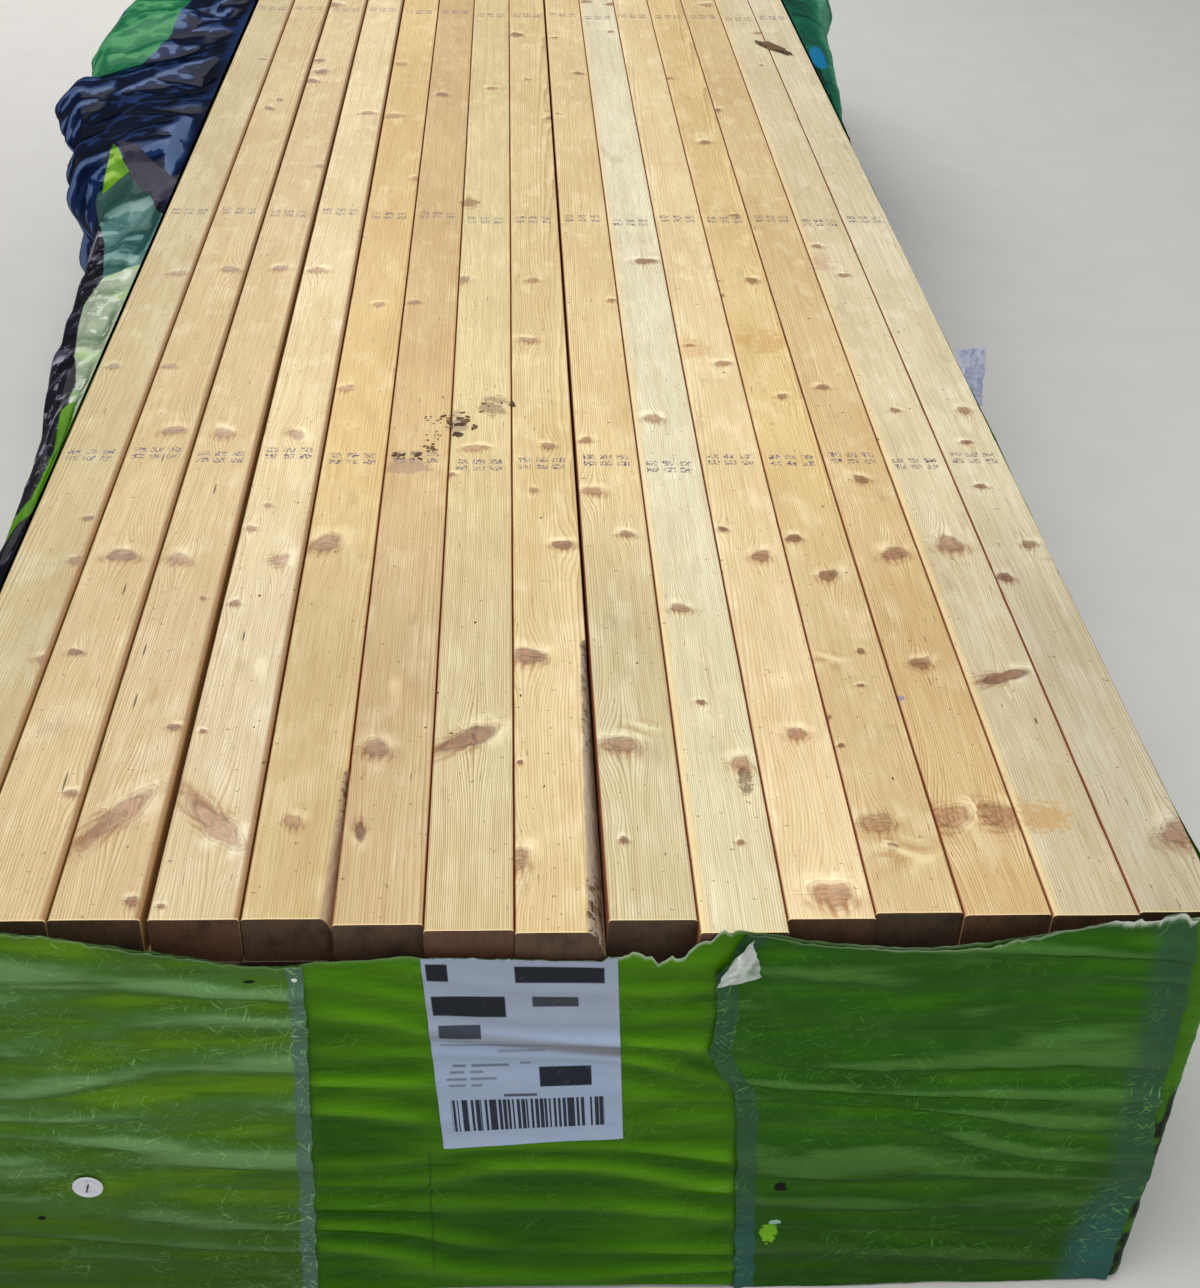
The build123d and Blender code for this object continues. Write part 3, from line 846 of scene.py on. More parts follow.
def stamped(paint, colour, across, along, number):
    """Ink stamps: two rows of dashes in three groups, at three places along each stud, with no lettering."""
    shift = (number * 9.1).sine() * 0.006
    rows = [(along - centre + shift).size() for centre in STAMP_ROWS]
    stamp = strongest(row.step(0.0135, 0.0125) * row.step(0.0015, 0.0025) for row in rows)
    groups = (((across + 0.03) / STAMP_PITCH).fraction() - 0.5).size().step(0.38, 0.33)
    groups = groups * across.size().step(0.030, 0.028)
    dash = paint.noise(paint.vector(across * 330.0, along * 240.0 + number * 5.0, 0.0), 1.0, 1.0)
    blot = paint.noise(paint.vector(across * 60.0, along * 60.0, number), 1.0).step(0.35, 0.65)
    ink = stamp * groups * dash.step(0.47, 0.54) * (0.50 + blot * 0.5)
    return paint.mix(ink, colour, (88, 82, 108))


def waned(paint, place, along, number):
    """Wane: smooth and grey on one stud, darker on the other, with scraps of bark. Gives its grit too."""
    grit = paint.noise(paint.stretch(place, (1.0, 0.3, 1.0)), 330.0, 3.0)
    soft = paint.noise(place, (90.0, 14.0, 90.0), 3.0)
    other = number.step(6.0, 7.0)
    dark = paint.mix(other, (168, 142, 108), (150, 136, 116))
    pale = paint.mix(other, (204, 178, 140), (206, 188, 160))
    barky = along.step(0.105, 0.125) * (1 - other)
    barky = barky + other * (along.step(0.085, 0.06) + along.step(0.20, 0.24) * 0.7)
    scraps = paint.mix(grit.step(0.42, 0.6), (148, 114, 80), (58, 42, 30))
    scraps = paint.mix(grit.step(0.66, 0.72), scraps, (176, 148, 112))
    ragged = paint.noise(place, 110.0, 4.0, 0.7).step(0.50, 0.56)
    return paint.mix(barky * ragged, paint.mix(soft, dark, pale), scraps), grit


# %% The two pine materials


def top_pine():
    """The top studs' pine, from the facts on their vertices, each stud with its own tint."""
    paint = Paint("planed pine, top studs")
    place = paint.place()
    across, along, tint, bark, number = map(paint.fact, ("across", "along", "tint", "bark", "stud"))
    planks = planed(paint, place, number, paint.fact("ring"), tint, paint.fact("grain") * 1.15)
    colour, seeded, line, fibre, streak, relief = planks
    colour, inside = knotted(paint, colour, place, number)
    figure = paint.fact("figure")
    # Curly grain, its shimmer shown as painted sheen in pale and darker bands
    colour = paint.mix(figure.step(0.1, 0.75) * 0.55, colour, (248, 230, 184))
    colour = paint.mix(figure.step(-0.1, -0.75) * 0.5, colour, (176, 130, 76))
    colour = paint.stretch(colour, paint.vector(*map(paint.fact, ("red", "green", "blue"))))
    # Two of the studs have a paler left edge
    golden = across.step(-0.0255, -0.032) * ((number - 12.0).size() - 2.0).size().step(0.6, 0.4)
    colour = paint.mix(golden * (0.3 + streak * 0.5), colour, (250, 222, 158))
    colour = stamped(paint, colour, across, along, number)
    colour = soiled(paint, colour, place, seeded, fibre)
    # Painted light in the joints: the studs' side walls are coloured to stand for light bounced between them,
    # tan on the first four studs, where the light got in, and dark red brown on the rest
    facing = paint.split(paint.node("ShaderNodeNewGeometry", output="Normal"))
    left_group = number.step(4.6, 4.4)
    # Painted shade: a darker strip along the right arris of each of the first four studs
    arris = across.step(0.0290, 0.0330) * left_group
    colour = paint.mix(arris * 0.85, colour, (150, 106, 62))
    joint_light = paint.mix(left_group, (146, 62, 12), (186, 148, 96))
    colour = paint.mix(facing[0].size().step(0.5, 0.85) * 0.9, colour, joint_light)
    # Painted highlight: a bright line along the top edge of the near end
    colour = paint.mix(along.size().step(0.0022, 0.0008) * 0.6, colour, (252, 226, 168))
    roughness = 0.5 + fibre * 0.18 - line * 0.08 - inside * 0.12
    ends, saw = sawn_end(paint, seeded, number, line)
    wane, grit = waned(paint, place, along, number)
    return wood_shaders(paint, colour, roughness, relief, ends, saw, line, facing, bark, wane, grit)


LAYER_EDGE, LAYER_STEP = 534.1 * MM, 70.6 * MM  # half a lower layer's width, and a stud with its joint


def layer_pine():
    """The lower layers' pine: its place in the stack gives a point's stud, and that gives its rings."""
    paint = Paint("planed pine, lower layers")
    place = paint.place()
    x, y, z = paint.split(place)
    column, row = ((x + LAYER_EDGE) / LAYER_STEP).floor(), (z / STUD_THICKNESS).floor()
    number = column + row * 15.0
    across = (x + LAYER_EDGE) / LAYER_STEP - column - 0.5 - (number * 12.99).sine() * 0.9
    deep = (z / STUD_THICKNESS - row) * 0.6 + 1.0 + (number * 7.7).sine() * 0.3
    ring = (across * across + deep * deep).power(0.5) * 19.0
    ring = ring + paint.noise(paint.stretch(place, (4.0, 0.8, 4.0)), 3.0) * 2.2
    tint = (number * 5.31).sine() * 0.3 + 0.4
    colour, seeded, line, fibre, _, relief = planed(paint, place, number, ring, tint, 1.0)
    facing = paint.split(paint.node("ShaderNodeNewGeometry", output="Normal"))
    ends, saw = sawn_end(paint, seeded, number, line)
    # Behind the film at the near end hardly any light falls
    hidden = y.step(-1.788, -1.797)
    colour, ends = (paint.mix(hidden, own, (58, 42, 30)) for own in (colour, ends))
    return wood_shaders(paint, colour, 0.5 + fibre * 0.18 - line * 0.08, relief, ends, saw, line, facing)


bright_pine, shaded_pine = top_pine(), layer_pine()
top_studs = [dress(stud(number), bright_pine, "pine") for number in range(1, 16)]
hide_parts("stud_layer_10")
for layer in range(1, 10):
    node = nodes[f"stud_layer_{layer:02d}"]
    node.data.materials.clear()
    node.data.materials.append(shaded_pine)
print("top studs:", sum(len(s.data.polygons) for s in top_studs), "faces")

# %% [markdown]
# ## How the film lies
# The wrap is one thin sheet round all four sides. Along the top it was torn open, so its upper
# edge is ragged. The stud ends press on it from behind and the packing machine pulled it
# sideways, so its wrinkles run level. A height over the flat film is worked out for
# every point from noise that is stretched sideways, and the near flaps and the label add their own
# height to the same function, while the flap round the washer is pinned flat, so nothing cuts in.

# %% Torn edge and wrinkles
TORN_EDGE = np.array([  # across the near end and height of the torn edge, in millimetres
    (-536, 461), (-500, 462), (-419, 459), (-383, 454), (-350, 446), (-313, 438), (-280, 431), (-240, 421),
    (-211, 420), (-175, 425), (-134, 428), (-106, 429), (-43, 426), (36, 424), (46, 430), (61, 428),
    (87, 422), (119, 442), (128, 451), (139, 454), (170, 451), (199, 444), (231, 439), (271, 434), (299, 434),
    (333, 440), (375, 448), (408, 455), (436, 461), (457, 463), (487, 469), (520, 466), (536, 462),
]) * MM
LEFT_FLAP_EDGE = np.array([(-208, 0), (-206, 60), (-203, 160), (-200, 266), (-197, 350), (-195.5, 425)]) * MM
RIGHT_FLAP_LEFT = np.array([
    (172, 0), (168, 60), (160, 180), (152, 265), (139, 285), (130, 302), (127, 318), (130, 344), (129, 372),
    (127, 400), (137, 424), (151, 450)
]) * MM
RIGHT_FLAP_OUTER = np.array([
    (521, 0), (521, 103), (528, 125), (531, 145), (526, 175), (517, 213), (512, 350), (505, 419), (501, 441),
    (498, 466)
]) * MM
WHITENESS = [  # across the near end in millimetres, and how white the torn edge is there
    (-540, 0.25), (-200, 0.15), (-30, 0.2), (-10, 0.5), (36, 0.9), (60, 0.7), (78, 0.8), (90, 1), (130, 1),
    (142, 0.3), (220, 0.25), (240, 0.5), (335, 0.5), (350, 0.25), (425, 0.5), (440, 1), (536, 1),
]
WASHER, WASHER_SEAT = np.array([-394.0, 160.0]) * MM, 1.6 * MM


def torn_height(x):
    """The height of the torn edge: through the measured places, with teeth where the film ripped."""
    smooth = np.interp(x, *TORN_EDGE.T)
    teeth = ease(36 * MM, 46 * MM, x) * ease(144 * MM, 132 * MM, x) + 0.7 * ease(425 * MM, 450 * MM, x)
    jagged = smooth + (0.7 + 4.2 * teeth) * MM * wander(x / (5 * MM), 3, 41)
    return jagged + 1.0 * MM * wander(x / (17 * MM), 7, 42)


def whitened(x):
    """How white the torn edge is: most where it ripped in teeth, hardly where it parted cleanly."""
    across, white = np.array(WHITENESS).T
    return np.interp(x, across * MM, white)


def flap_cover(x, z):
    """How much of the film lies under a flap: 1 well inside a flap's edges, 0 on the bare middle."""
    left = ease(12 * MM, -12 * MM, x - np.interp(z, LEFT_FLAP_EDGE[:, 1], LEFT_FLAP_EDGE[:, 0]))
    right = ease(-12 * MM, 12 * MM, x - np.interp(z, RIGHT_FLAP_LEFT[:, 1], RIGHT_FLAP_LEFT[:, 0]))
    return left + right


def film_height(x, z):
    """How far the film stands out of its plane at the near end: creases, swells and a nip at the top.

    Creases are creased noise stretched ten times longer across than upright, and tilted a little.
    """
    tilt = z + 0.05 * x
    wave = tilt / (36 * MM) + 0.75 * wander(x / (210 * MM), tilt / (60 * MM), 51)
    folds = (0.5 + 0.5 * np.sin(2 * np.pi * wave)) ** 1.7
    folds = folds * (1 + 0.8 * wander(x / (160 * MM), tilt / (45 * MM), 52))
    creases = 3.4 * folds + 1.6 * crease(x / (190 * MM) + 3, tilt / (17 * MM), 53, 2) - 2.0
    swells = 1.2 * wander(x / (330 * MM), tilt / (70 * MM), 55)
    fine = 0.4 * crease(x / (60 * MM), tilt / (9 * MM), 58, 2)
    free = 1 - 0.8 * flap_cover(x, z)
    label_press = 1 - 0.55 * ease(100 * MM, 70 * MM, np.abs(x + 20 * MM)) * ease(190 * MM, 215 * MM, z)
    top = ease(70 * MM, 22 * MM, torn_height(x) - z)
    height = (creases + swells + fine) * free * label_press
    height = height * (1 - 0.6 * top) + 1.0 * top
    return np.maximum(height, -3.2 + 2.6 * top) * MM


def wrinkled(x, z, seed, band):
    """A flap's height over the film, half a millimetre or more: level bands, creases, a fine crumple."""
    tilt = z + 0.09 * x
    wave = tilt / (band * MM) + 0.8 * wander(x / (240 * MM), tilt / (80 * MM), seed)
    bands = 3.2 * (0.5 + 0.5 * np.sin(2 * np.pi * wave)) ** 1.6
    bands = bands * (1 + 0.8 * wander(x / (200 * MM), tilt / (60 * MM), seed + 1))
    long = 1.6 * crease(x / (230 * MM), tilt / (24 * MM), seed + 3, 2)
    crumple = 0.8 * crease(x / (38 * MM) + tilt / (60 * MM), tilt / (21 * MM), seed + 6, 2)
    height = 0.2 + bands + long + crumple
    from_washer = np.hypot(x - WASHER[0], z - WASHER[1])
    pinned = ease(70 * MM, 14 * MM, from_washer)
    return (np.maximum(0.5, height) * (1 - pinned) + 0.5 * pinned) * MM


# %% The wrap


NEAR_POINTS, CLOSE_POINTS, SIDE_POINTS, BEND_POINTS, WRAP_ROWS = 400, 20, 140, 5, 92
CLOSE_BY = 0.3  # how far back from the near end the sides still have close points


def wrap_path(half_across, half_along, radius):
    """Points round the wrap seen from above, from the near left, with a quarter circle at each corner.

    They lie closely along the near end, where the film is seen from near by, and widely along the sides.
    """
    near_x = np.linspace(-half_across + radius, half_across - radius, NEAR_POINTS)
    close_y = np.linspace(-half_along + radius, -half_along + CLOSE_BY, CLOSE_POINTS)[:-1]
    wide_y = np.linspace(-half_along + CLOSE_BY, half_along - radius, SIDE_POINTS)
    side_y = np.concatenate([close_y, wide_y])
    far_x = near_x[::4][::-1]
    bend = np.linspace(0, np.pi / 2, BEND_POINTS + 2)[1:-1]

    def corner(cx, cy, start):
        return np.stack([cx + radius * np.cos(start + bend), cy + radius * np.sin(start + bend)], -1)

    x, y = half_across - radius, half_along - radius
    return np.concatenate([
        np.stack([near_x, np.full_like(near_x, -half_along)], -1), corner(x, -y, -np.pi / 2),
        np.stack([np.full_like(side_y, half_across), side_y], -1), corner(x, y, 0),
        np.stack([far_x, np.full_like(far_x, half_along)], -1), corner(-x, y, np.pi / 2),
        np.stack([np.full_like(side_y, -half_across), side_y[::-1]], -1), corner(-x, -y, np.pi),
    ])


def film_wrap():
    """The wrap: its path at every height from the hem to the upper edge, moved outwards by its wrinkles."""
    path = wrap_path(FILM_SIDE, FILM_END, FILM_CORNER)
    ahead_of = np.roll(path, -1, 0) - np.roll(path, 1, 0)
    outward = np.stack([ahead_of[:, 1], -ahead_of[:, 0]], -1)
    outward /= np.linalg.norm(outward, axis=1, keepdims=True)
    x, y = path.T
    at_near = ease(-FILM_END + FILM_CORNER, -FILM_END, y)
    back = np.clip((y + FILM_END - FILM_CORNER) / CORNER_RUN, 0, 1)
    side_top = CORNER_TOP + (SIDE_TOP - CORNER_TOP) * back * back * (3 - 2 * back)
    side_top = side_top + 1.6 * MM * rough(y / (70 * MM), x, 61)
    near_top = torn_height(x) * at_near + CORNER_TOP * (1 - at_near)
    top = np.where(y < -FILM_END + FILM_CORNER, near_top, side_top)
    hem = HEM_HEIGHT - 3 * MM * wander((x + y) / (90 * MM), 1, 63) ** 2
    rise = np.linspace(0, 1, WRAP_ROWS)[:, None]
    z = hem + (top - hem) * rise
    shape = z.shape
    run = np.broadcast_to(np.where(np.abs(x) > FILM_SIDE - FILM_CORNER, y, x), shape)
    side_tilt = z + 0.02 * run
    side = 2.6 * crease(run / (420 * MM), side_tilt / (30 * MM), 66) - 1.0
    side = side + 2.2 * wander(run / (500 * MM), side_tilt / (80 * MM), 68)
    near = film_height(np.broadcast_to(x, shape), z)
    height = near * at_near + np.clip(side, -0.9, 5) * MM * (1 - at_near)
    height = height * (1 - 0.5 * ease(0.03, 0, rise))
    grid = np.stack([x + outward[:, 0] * height, y + outward[:, 1] * height, z], -1)
    cover = flap_cover(np.broadcast_to(x, shape), z) * at_near
    # Painted shade: near black patches low at the right corner, broken by bits of lime
    dark = ease(519 * MM, 524 * MM, x + 5 * MM * rough(z / (16 * MM), x / (12 * MM), 71)) * at_near
    dark = dark * ease(268 * MM, 236 * MM, z + 12 * MM * wander(x / (7 * MM), 3, 72))
    dark = dark * (1 - ease(0.2, 0.35, wander(z / (15 * MM), x / (9 * MM), 73)) * 0.9)
    lip = ease(3.2 * MM, 0.6 * MM, top - z) * at_near * whitened(x)
    facts = {"crest": height / MM, "cover": cover, "dark": dark, "lip": lip}
    return surface("film_wrap_sheet", grid, facts, wrap=True)


# %% The flaps


FLAP_TOP, FLAP_ROWS, FLAP_STEP, CURL = 445 * MM, 150, 2.7 * MM, 14 * MM


def end_flap(name, left_edge, right_edge, seed, band, drop):
    """A flap across the near end: between its edges, up to the tear, on top of the film's own height."""
    columns = int(np.ptp(np.concatenate([left_edge[:, 0], right_edge[:, 0]])) / FLAP_STEP)
    share, rise = np.meshgrid(np.linspace(0, 1, columns), np.linspace(0, 1, FLAP_ROWS))
    left = np.interp(rise * FLAP_TOP, left_edge[:, 1], left_edge[:, 0])
    right = np.interp(rise * FLAP_TOP, right_edge[:, 1], right_edge[:, 0])
    left = left + 1.0 * MM * rough(rise * 30, 0, seed + 11)
    right = right + 1.0 * MM * rough(rise * 30, 4, seed + 12)
    x = left + (right - left) * share
    low = drop + 2 * MM * wander(x / (60 * MM), 0, seed + 13)
    top = torn_height(x) + 1.2 * MM * wander(x / (6 * MM), 9, seed + 14)
    z = low + (top - low) * rise
    over = wrinkled(x, z, seed, band)
    # The left flap's left edge goes round the corner of the stack, so it has no curl
    curl_left = ease(CURL, 0, x - left) if left_edge[0, 0] > -0.4 else 0
    curl_right = ease(CURL, 0, right - x)
    curl = (curl_left + curl_right) * (1.2 + 1.4 * wander(z / (40 * MM), 2, seed + 15)) * MM
    height = film_height(x, z) + over + np.maximum(0, curl)
    fringe = ease(425 * MM, 450 * MM, x) * (0.5 + 0.5 * wander(x / (4 * MM), z / (9 * MM), seed + 16))
    grid = np.stack([x, -FILM_END - height, z], -1)
    facts = {
        "gap": over / MM, "from_left": x - left, "from_right": right - x,
        "lip": ease(3.0 * MM + 8 * MM * fringe, 0.5 * MM, top - z) * whitened(x),
    }
    return surface(name, grid, facts)


# %% [markdown]
# ## Film finishes
# The film is printed a bright lime green on a thin plastic that shines. Where a flap lies over
# it the light has to pass through a second, milky layer, which turns it darker and bluer
# where there is air between and leaves it greener where the two stick together. Dragging left many
# short pale scratches. The torn edge is whitened by the stretch.

# %% Film materials


def coated(paint, colour, roughness, relief, height, weight, blur):
    """A dull base under a thin clear coat, which gives film and coated paper their soft gloss."""
    gloss = {"Specular_IOR_Level": 0.0, "Coat_Weight": weight, "Coat_Roughness": blur}
    return paint.finish(colour, roughness, relief, height, **gloss)


def scratches(paint, place, fine=1.0):
    """Short pale scratches in three directions: noise stretched along each, kept only where it peaks."""
    x, y, z = paint.split(place)
    run = x + y

    def one_way(angle):
        c, s = float(np.cos(np.radians(angle))), float(np.sin(np.radians(angle)))
        across, along = run * c + z * s, z * c - run * s
        field = paint.vector(across * 46.0 * fine, along * 520.0 * fine, angle * 0.1)
        return paint.noise(field, 1.0, 2.0, 0.6).step(0.62, 0.72)

    gate = paint.noise(place, 14.0, 3.0).step(0.38, 0.62)
    return strongest(map(one_way, (14, 63, -48))) * gate


def printed_film():
    """Lime green film: painted highlights on the crests, painted shade in the folds, at the bottom and in
    patches at a corner, and white along the tear.
    """
    paint = Paint("lime green film")
    place = paint.place()
    crest, cover, dark, lip = map(paint.fact, ("crest", "cover", "dark", "lip"))
    sway = paint.noise(place, (5.0, 5.0, 26.0), 3.0)
    fine = paint.noise(place, (40.0, 40.0, 300.0), 3.0)
    # Painted highlight on the crests and painted shade in the folds, over uneven tone from noise
    light = (crest * 0.11 + sway * 0.8 - 0.10 + (fine - 0.5) * 0.25).clamp()
    colour = paint.ramp(
        light, [(0.0, (36, 82, 0)), (0.42, (70, 124, 2)), (0.72, (92, 150, 14)), (1.0, (124, 178, 56))]
    )
    x, _, z = paint.split(place)
    # Painted shade: darker towards the bottom
    low = z.step(0.26, 0.05)
    colour = paint.mix(low * 0.30, colour, (22, 78, 0))
    nick = (x + 0.103 + (sway - 0.5) * 0.006).size().step(0.0016, 0.0004)
    nick = nick * z.step(0.205, 0.19) * z.step(0.02, 0.06)
    colour = paint.mix(nick * 0.55, colour, (26, 60, 4))
    marks = scratches(paint, place)
    colour = paint.mix(marks * 0.12, colour, (150, 196, 110))
    colour = paint.mix(cover * 0.35, colour, (52, 104, 24))
    # Painted shade at the right corner
    colour = paint.mix(dark, colour, (12, 16, 12))
    colour = paint.mix(lip * (0.45 + fine * 0.5), colour, (205, 216, 196))
    roughness = 0.30 + fine * 0.18 + marks * 0.2 + lip * 0.2
    return coated(paint, colour, roughness.clamp(), fine * 0.6, 0.6 * MM, 0.22, 0.25)


LEFT_MILK = [  # what shows through the milky layer, from where it touches the green to where it stands off
    (0.0, (88, 130, 10)), (0.3, (68, 110, 20)), (0.62, (68, 110, 46)), (1.0, (104, 146, 88)),
]
RIGHT_MILK = [(0.0, (54, 108, 0)), (0.3, (40, 92, 2)), (0.62, (36, 84, 10)), (1.0, (70, 116, 46))]
HOLES = [  # across and up, half its width and height in millimetres, and its colour
    (202, 144, 6.5, 5.5, (10, 14, 8)), (197, 81, 8, 13, (112, 170, 30)), (201, 97, 5, 4, (150, 190, 170)),
    (-439, 118, 3.4, 2.6, (10, 16, 8)), (-237, 405, 5, 1.6, (14, 30, 10)),
    (-203, 406, 2.4, 2.0, (226, 232, 230)),
]


def milky_film(name, tones, band_colour, left_band, right_band):
    """A flap: green seen through a milky layer, paler and greyer in the bands along its free edges."""
    paint = Paint(name)
    place = paint.place()
    z = paint.split(place)[2]
    gap, lip, from_left, from_right = map(paint.fact, ("gap", "lip", "from_left", "from_right"))
    sway = paint.noise(place, (5.0, 5.0, 30.0), 4.0, 0.55)
    touch = (gap * 0.16 + (sway - 0.5) * 2.6 + 0.20).clamp()
    colour = paint.ramp(touch, tones)
    pale = tones[-1][1]
    cloud = paint.noise(place, 26.0, 4.0, 0.6)
    colour = paint.mix(cloud.step(0.5, 0.72) * 0.25, colour, pale)
    deep = paint.noise(place, (7.0, 7.0, 60.0), 3.0).step(0.56, 0.68)
    colour = paint.mix(deep * 0.4, colour, [c * 0.72 for c in tones[1][1]])
    # Painted shade: darker towards the bottom
    low = z.step(0.24, 0.03)
    colour = paint.mix(low * 0.55, colour, [c * 0.62 for c in tones[1][1]])
    marks = scratches(paint, place, 1.2)
    cracks = paint.node(
        "ShaderNodeTexVoronoi", {"feature": "DISTANCE_TO_EDGE"}, {"Vector": place, "Scale": 60.0}
    )
    hair = cracks.step(0.03, 0.0) * paint.noise(place, 30.0, 2.0).step(0.56, 0.72)
    wavy = (paint.noise(place, 34.0, 3.0) - 0.5) * 0.006
    band = (from_left + wavy).step(left_band, left_band * 0.88) if left_band else from_left * 0.0
    narrow = z.step(0.0, 0.3) * min(1.0, right_band * 12) * 0.4
    soft = 0.86 if right_band < 0.03 else 0.45
    band = band.most(((from_right + wavy) / (right_band * (1 - narrow))).step(1.0, soft))
    colour = paint.mix(band * (0.55 + cloud * 0.45), colour, band_colour)
    damp = band * z.step(0.16, 0.05) * (0.0 if right_band < 0.03 else 0.8)
    colour = paint.mix(damp, colour, (42, 88, 84))
    colour = paint.mix((marks * (0.26 + band * 0.34)).most(hair * 0.10), colour, [c * 1.5 + 20 for c in pale])
    unevenly = (paint.noise(place, 260.0, 2.0) - 0.5) * 2.4
    for across, up, wide, tall, tone in HOLES:
        apart = paint.away(place, (across * MM, 0, up * MM), (wide * MM, 0, tall * MM))
        colour = paint.mix((apart + unevenly).step(1.1, 0.8), colour, tone)
    colour = paint.mix(lip * 0.9, colour, (214, 222, 208))
    roughness = 0.38 + cloud * 0.18 + marks * 0.15
    return coated(paint, colour, roughness.clamp(), cloud * 0.7 + hair * 0.5, 0.8 * MM, 0.25, 0.3)


lime = printed_film()
left_milk = milky_film("milky film, left flap", LEFT_MILK, (80, 108, 98), 0.0, 0.0145)
right_milk = milky_film("milky film, right flap", RIGHT_MILK, (46, 82, 60), 0.019, 0.060)

wrap_sheet = dress(film_wrap(), lime, "printed_film", "film_wrap")
flap_corner = np.array([(-FILM_SIDE + 8 * MM, 0), (-FILM_SIDE + 8 * MM, 460 * MM)])
left_flap = end_flap("near_left_flap_sheet", flap_corner, LEFT_FLAP_EDGE, 81, 52, 4 * MM)
dress(left_flap, left_milk, "milky_film", "near_left_flap")
right_flap = end_flap("near_right_flap_sheet", RIGHT_FLAP_LEFT, RIGHT_FLAP_OUTER, 91, 44, 2 * MM)
dress(right_flap, right_milk, "milky_film", "near_right_flap")


FAR_POINTS = 80  # along each side of a flap on the far end


def far_flap(name, side):
    """A plain flap across the far end, from its corner to where it ends, a little over the wrap."""
    x0, x1 = sorted((side * (FILM_SIDE - 8 * MM), side * 190 * MM))
    share, rise = np.meshgrid(*[np.linspace(0, 1, FAR_POINTS)] * 2)
    x = x1 + (x0 - x1) * share
    top = SIDE_TOP - 1 * MM + 2 * MM * wander(x / (40 * MM), 0, 97)
    z = HEM_HEIGHT + (top - HEM_HEIGHT) * rise
    over = wrinkled(x + 3, z, 99, 60) + 4.2 * MM
    facts = {"gap": over / MM - 4, "from_left": x - x0, "from_right": x1 - x, "lip": 0.0}
    return surface(name, np.stack([x, FILM_END + over, z], -1), facts)


for name, side in (("far_left_flap", -1), ("far_right_flap", 1)):
    back_flap = dress(far_flap(name + "_sheet", side), left_milk, "milky_film", name)

# %% [markdown]
# ## Label and washer
# The label is printed paper stuck to the film, so it follows the film's wrinkles a little
# less closely. What it says stays generic: plain bars where the words were, and even upright
# strokes for the code. The washer is a turned profile, and the staple is a bent wire through it.

# %% Label
LABEL_CORNERS = np.array([(-91, 203), (61, 212), (-105.5, 432), (48, 427)]) * MM
LABEL_SIZE, LABEL_POINTS = (152 * MM, 222 * MM), (70, 90)
BARS = [  # left, right, top and bottom as shares of the label, and how black
    (0.02, 0.13, 0.045, 0.125, 0.95), (0.47, 0.93, 0.05, 0.13, 0.95), (0.03, 0.41, 0.20, 0.30, 0.95),
    (0.55, 0.79, 0.20, 0.255, 0.85), (0.05, 0.27, 0.345, 0.40, 0.85), (0.05, 0.62, 0.445, 0.455, 0.4),
    (0.35, 0.60, 0.475, 0.485, 0.35), (0.10, 0.17, 0.555, 0.568, 0.6), (0.20, 0.40, 0.555, 0.568, 0.6),
    (0.08, 0.16, 0.588, 0.600, 0.5), (0.19, 0.26, 0.588, 0.600, 0.5), (0.06, 0.17, 0.620, 0.632, 0.5),
    (0.19, 0.33, 0.620, 0.632, 0.5), (0.07, 0.16, 0.652, 0.664, 0.5), (0.19, 0.25, 0.652, 0.664, 0.5),
    (0.46, 0.52, 0.545, 0.557, 0.5), (0.56, 0.84, 0.575, 0.675, 0.95), (0.36, 0.54, 0.712, 0.727, 0.8),
]
CODE = (0.07, 0.90, 0.745, 0.915)  # the same four edges
STROKES = 40.0  # how many strokes the label's whole width would hold


def label_sheet():
    """The label: a patch between its corners, a fraction of a millimetre over the film, up to the tear."""
    share, rise = np.meshgrid(*[np.linspace(0, 1, points) for points in LABEL_POINTS])
    flat = between(LABEL_CORNERS, share, rise)
    x, z = flat[..., 0], flat[..., 1]
    z = np.minimum(z, torn_height(x) - 0.2 * MM)
    fold = z - 345 * MM + 0.11 * (x + 100 * MM)
    own = 0.55 * MM + 0.45 * MM * crease(x / (90 * MM), (z + 0.3 * x) / (26 * MM), 121, 2)
    own = own + 2.4 * MM * np.exp(-((fold / (9 * MM)) ** 2))
    curl = 1.6 * MM * ease(0.07, 0, rise) * ease(0.5, 1.0, share)
    grid = np.stack([x, -FILM_END - film_height(x, z) - own - curl, z], -1)
    return surface("label_sheet", grid, {"share_x": share, "share_z": 1 - rise})


